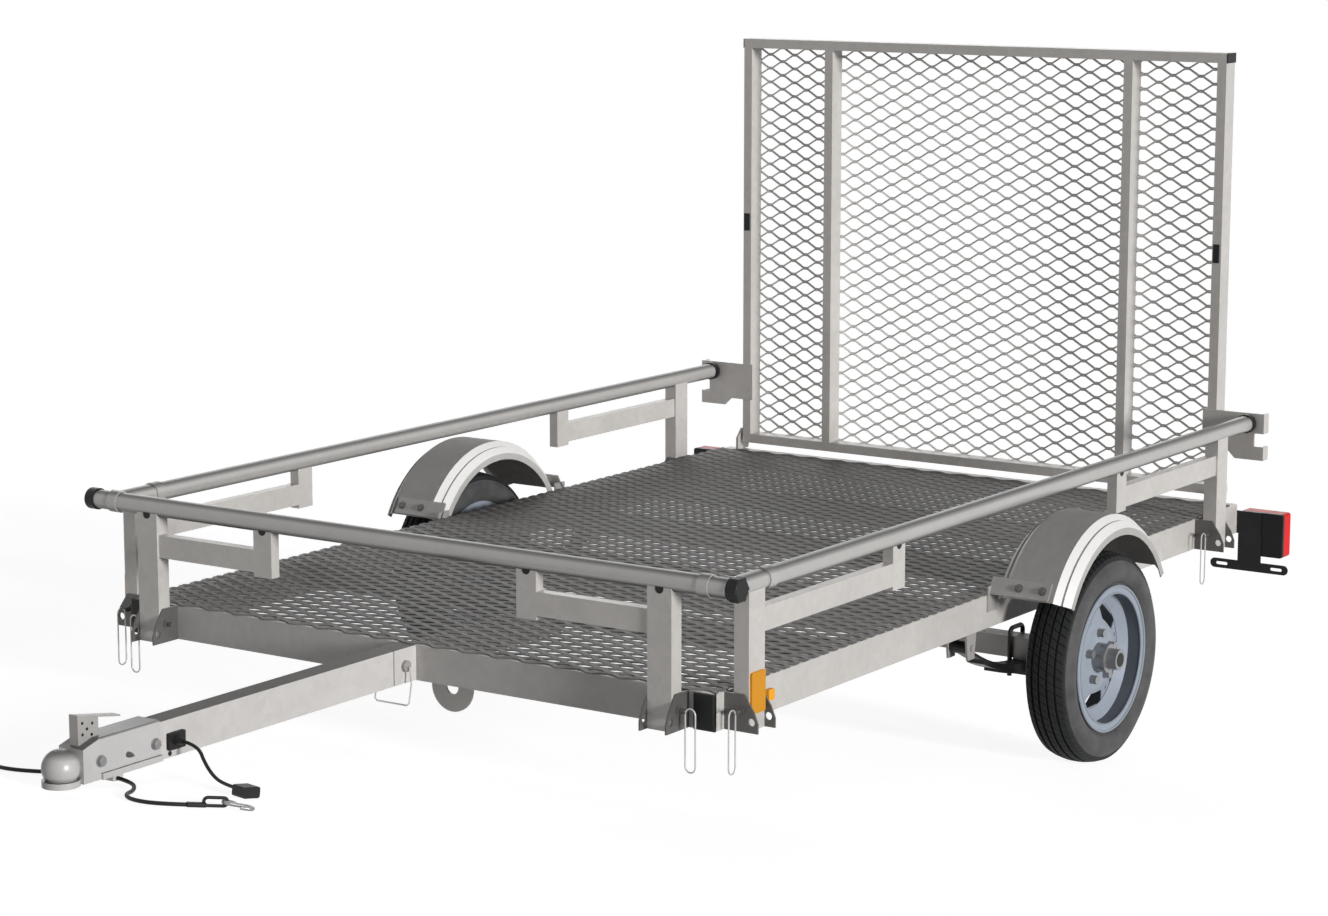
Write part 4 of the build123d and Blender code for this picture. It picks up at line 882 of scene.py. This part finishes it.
def tongue_details():
    """The wire bail under the receiver, black discs of painted shade for small holes, and the wedge on
    the coupler's side.
    """
    bail, holes, wedge = Shape(), Shape(), Shape()
    bail.wire(list(LEFT_BAIL) + [(-x, y, z) for x, y, z in reversed(LEFT_BAIL)], BAIL_WIRE)
    make_piece("receiver_bail", bail, WIRE, "chassis")
    # Black discs: painted shade standing for holes
    for centre, radius in TONGUE_HOLES:
        holes.spun(centre, (1, 0, 0), [(-TONGUE_HOLE_HALF, radius), (TONGUE_HOLE_HALF, radius)])
    make_piece("tongue_holes", holes, BLACK_PLASTIC, "chassis")
    wedge.spun(WEDGE, (1, 0, 0), WEDGE_PROFILE, WEDGE_SIDES)
    make_piece("coupler_wedge", wedge, GALVANISED_PAINTED_SHADE, "chassis")


# Floor, world, lamps and camera
WORLD_LIGHT = 0.22
ZENITH_LIGHT = 0.05
# Heights of a direction between which the light falls from the world's to the zenith's
WORLD_RISE = (0.05, 0.55)
WHITE = (1.0, 1.0, 1.0, 1.0)
FLOOR_HALF = 40.0
FLOOR_GLOW = 0.88
FLOOR_COLOUR = 0.45


def seen_rays(tree):
    """One for camera, glossy and transmission rays, zero for the others."""
    rays = tree.nodes.new("ShaderNodeLightPath")
    total = rays.outputs["Is Camera Ray"]
    for kind in ("Is Glossy Ray", "Is Transmission Ray"):
        add = tree.nodes.new("ShaderNodeMath")
        add.operation = "MAXIMUM"
        tree.links.new(total, add.inputs[0])
        tree.links.new(rays.outputs[kind], add.inputs[1])
        total = add.outputs[0]
    return total


def world():
    """White where it is seen, and soft light on the object that falls off towards the zenith."""
    studio = bpy.data.worlds.new("studio")
    bpy.context.scene.world = studio
    studio.use_nodes = True
    tree = studio.node_tree
    background = tree.nodes["Background"]
    background.inputs["Color"].default_value = WHITE
    place = tree.nodes.new("ShaderNodeTexCoord")
    split = tree.nodes.new("ShaderNodeSeparateXYZ")
    tree.links.new(place.outputs["Generated"], split.inputs["Vector"])
    light = tree.nodes.new("ShaderNodeMapRange")
    light.inputs["From Min"].default_value = WORLD_RISE[0]
    light.inputs["From Max"].default_value = WORLD_RISE[1]
    light.inputs["To Min"].default_value = WORLD_LIGHT
    light.inputs["To Max"].default_value = ZENITH_LIGHT
    tree.links.new(split.outputs["Z"], light.inputs["Value"])
    strength = tree.nodes.new("ShaderNodeMapRange")
    tree.links.new(light.outputs["Result"], strength.inputs["To Min"])
    strength.inputs["To Max"].default_value = 1.0
    tree.links.new(seen_rays(tree), strength.inputs["Value"])
    tree.links.new(strength.outputs["Result"], background.inputs["Strength"])


def floor():
    """A pale floor that shows white where no shadow lies and lights nothing itself."""
    corners = [(-FLOOR_HALF, -FLOOR_HALF, 0), (FLOOR_HALF, -FLOOR_HALF, 0),
               (FLOOR_HALF, FLOOR_HALF, 0), (-FLOOR_HALF, FLOOR_HALF, 0)]
    mesh = bpy.data.meshes.new("floor")
    mesh.from_pydata(corners, [], [(0, 1, 2, 3)])
    material = bpy.data.materials.new("pale_floor")
    material.use_nodes = True
    tree = material.node_tree
    shader = tree.nodes["Principled BSDF"]
    shader.inputs["Base Color"].default_value = (FLOOR_COLOUR, FLOOR_COLOUR, FLOOR_COLOUR, 1)
    shader.inputs["Roughness"].default_value = 1.0
    shader.inputs["Specular IOR Level"].default_value = 0.0
    shader.inputs["Emission Color"].default_value = WHITE
    glow = tree.nodes.new("ShaderNodeMapRange")
    glow.inputs["To Max"].default_value = FLOOR_GLOW
    tree.links.new(seen_rays(tree), glow.inputs["Value"])
    tree.links.new(glow.outputs["Result"], shader.inputs["Emission Strength"])
    mesh.materials.append(material)
    ground = bpy.data.objects.new("floor", mesh)
    bpy.context.scene.collection.objects.link(ground)


LAMPS = (
    # name, direction the light comes from, strength, angular size in degrees
    ("key", (0.97, -0.20, 0.15), 2.85, 12.0),
    ("front", (0.10, -0.95, 0.05), 0.20, 30.0),
    ("fill", (-0.50, 0.60, 0.40), 0.60, 40.0),
)


def lamps():
    """Wide soft lamps at a plain level."""
    for name, source, strength, size in LAMPS:
        light = bpy.data.lights.new(name, "SUN")
        light.energy = strength
        light.angle = math.radians(size)
        lamp = bpy.data.objects.new(name, light)
        lamp.rotation_euler = Vector(source).to_track_quat("Z", "Y").to_euler()
        bpy.context.scene.collection.objects.link(lamp)


# The photograph's camera: its place in level millimetres, its turn and downward pitch in degrees
CAMERA_PLACE = (4206.6, -6416.3, 1982.3)
CAMERA_TURN = 34.341
CAMERA_PITCH = 9.938
FOCAL_PIXELS = 3249.7
PHOTO_WIDTH = 1328
SENSOR = 36.0
CAMERA_FAR = 200.0


def camera():
    """The camera that looks as the photograph does."""
    turn, pitch = math.radians(CAMERA_TURN), math.radians(CAMERA_PITCH)
    right = Vector((math.cos(turn), math.sin(turn), 0))
    back = Vector((math.sin(turn) * math.cos(pitch), -math.cos(turn) * math.cos(pitch), math.sin(pitch)))
    up = back.cross(right)
    axes = PARK.to_3x3().normalized() @ Matrix((right, up, back)).transposed()
    data = bpy.data.cameras.new("camera")
    data.sensor_width = SENSOR
    data.lens = FOCAL_PIXELS / PHOTO_WIDTH * SENSOR
    data.clip_end = CAMERA_FAR
    eye = bpy.data.objects.new("camera", data)
    eye.matrix_world = Matrix.Translation(PARK @ Vector(CAMERA_PLACE)) @ axes.to_4x4()
    bpy.context.scene.collection.objects.link(eye)
    bpy.context.scene.camera = eye


bpy.context.scene.view_settings.view_transform = "Standard"
dress_nodes()
camera()
world()
floor()
lamps()
cords()
deck_metal()
gate_metal()
for wheel_side, wheel_name in SIDES:
    tyre(wheel_side, wheel_name)
for wheel_side, wheel_name in SIDES:
    fender(wheel_side, wheel_name)
    wheel_details(wheel_side, wheel_name)
fender_straps()
coupler_bolts()
socket_clips()
post_holes()
knob_lobes()
tongue_details()
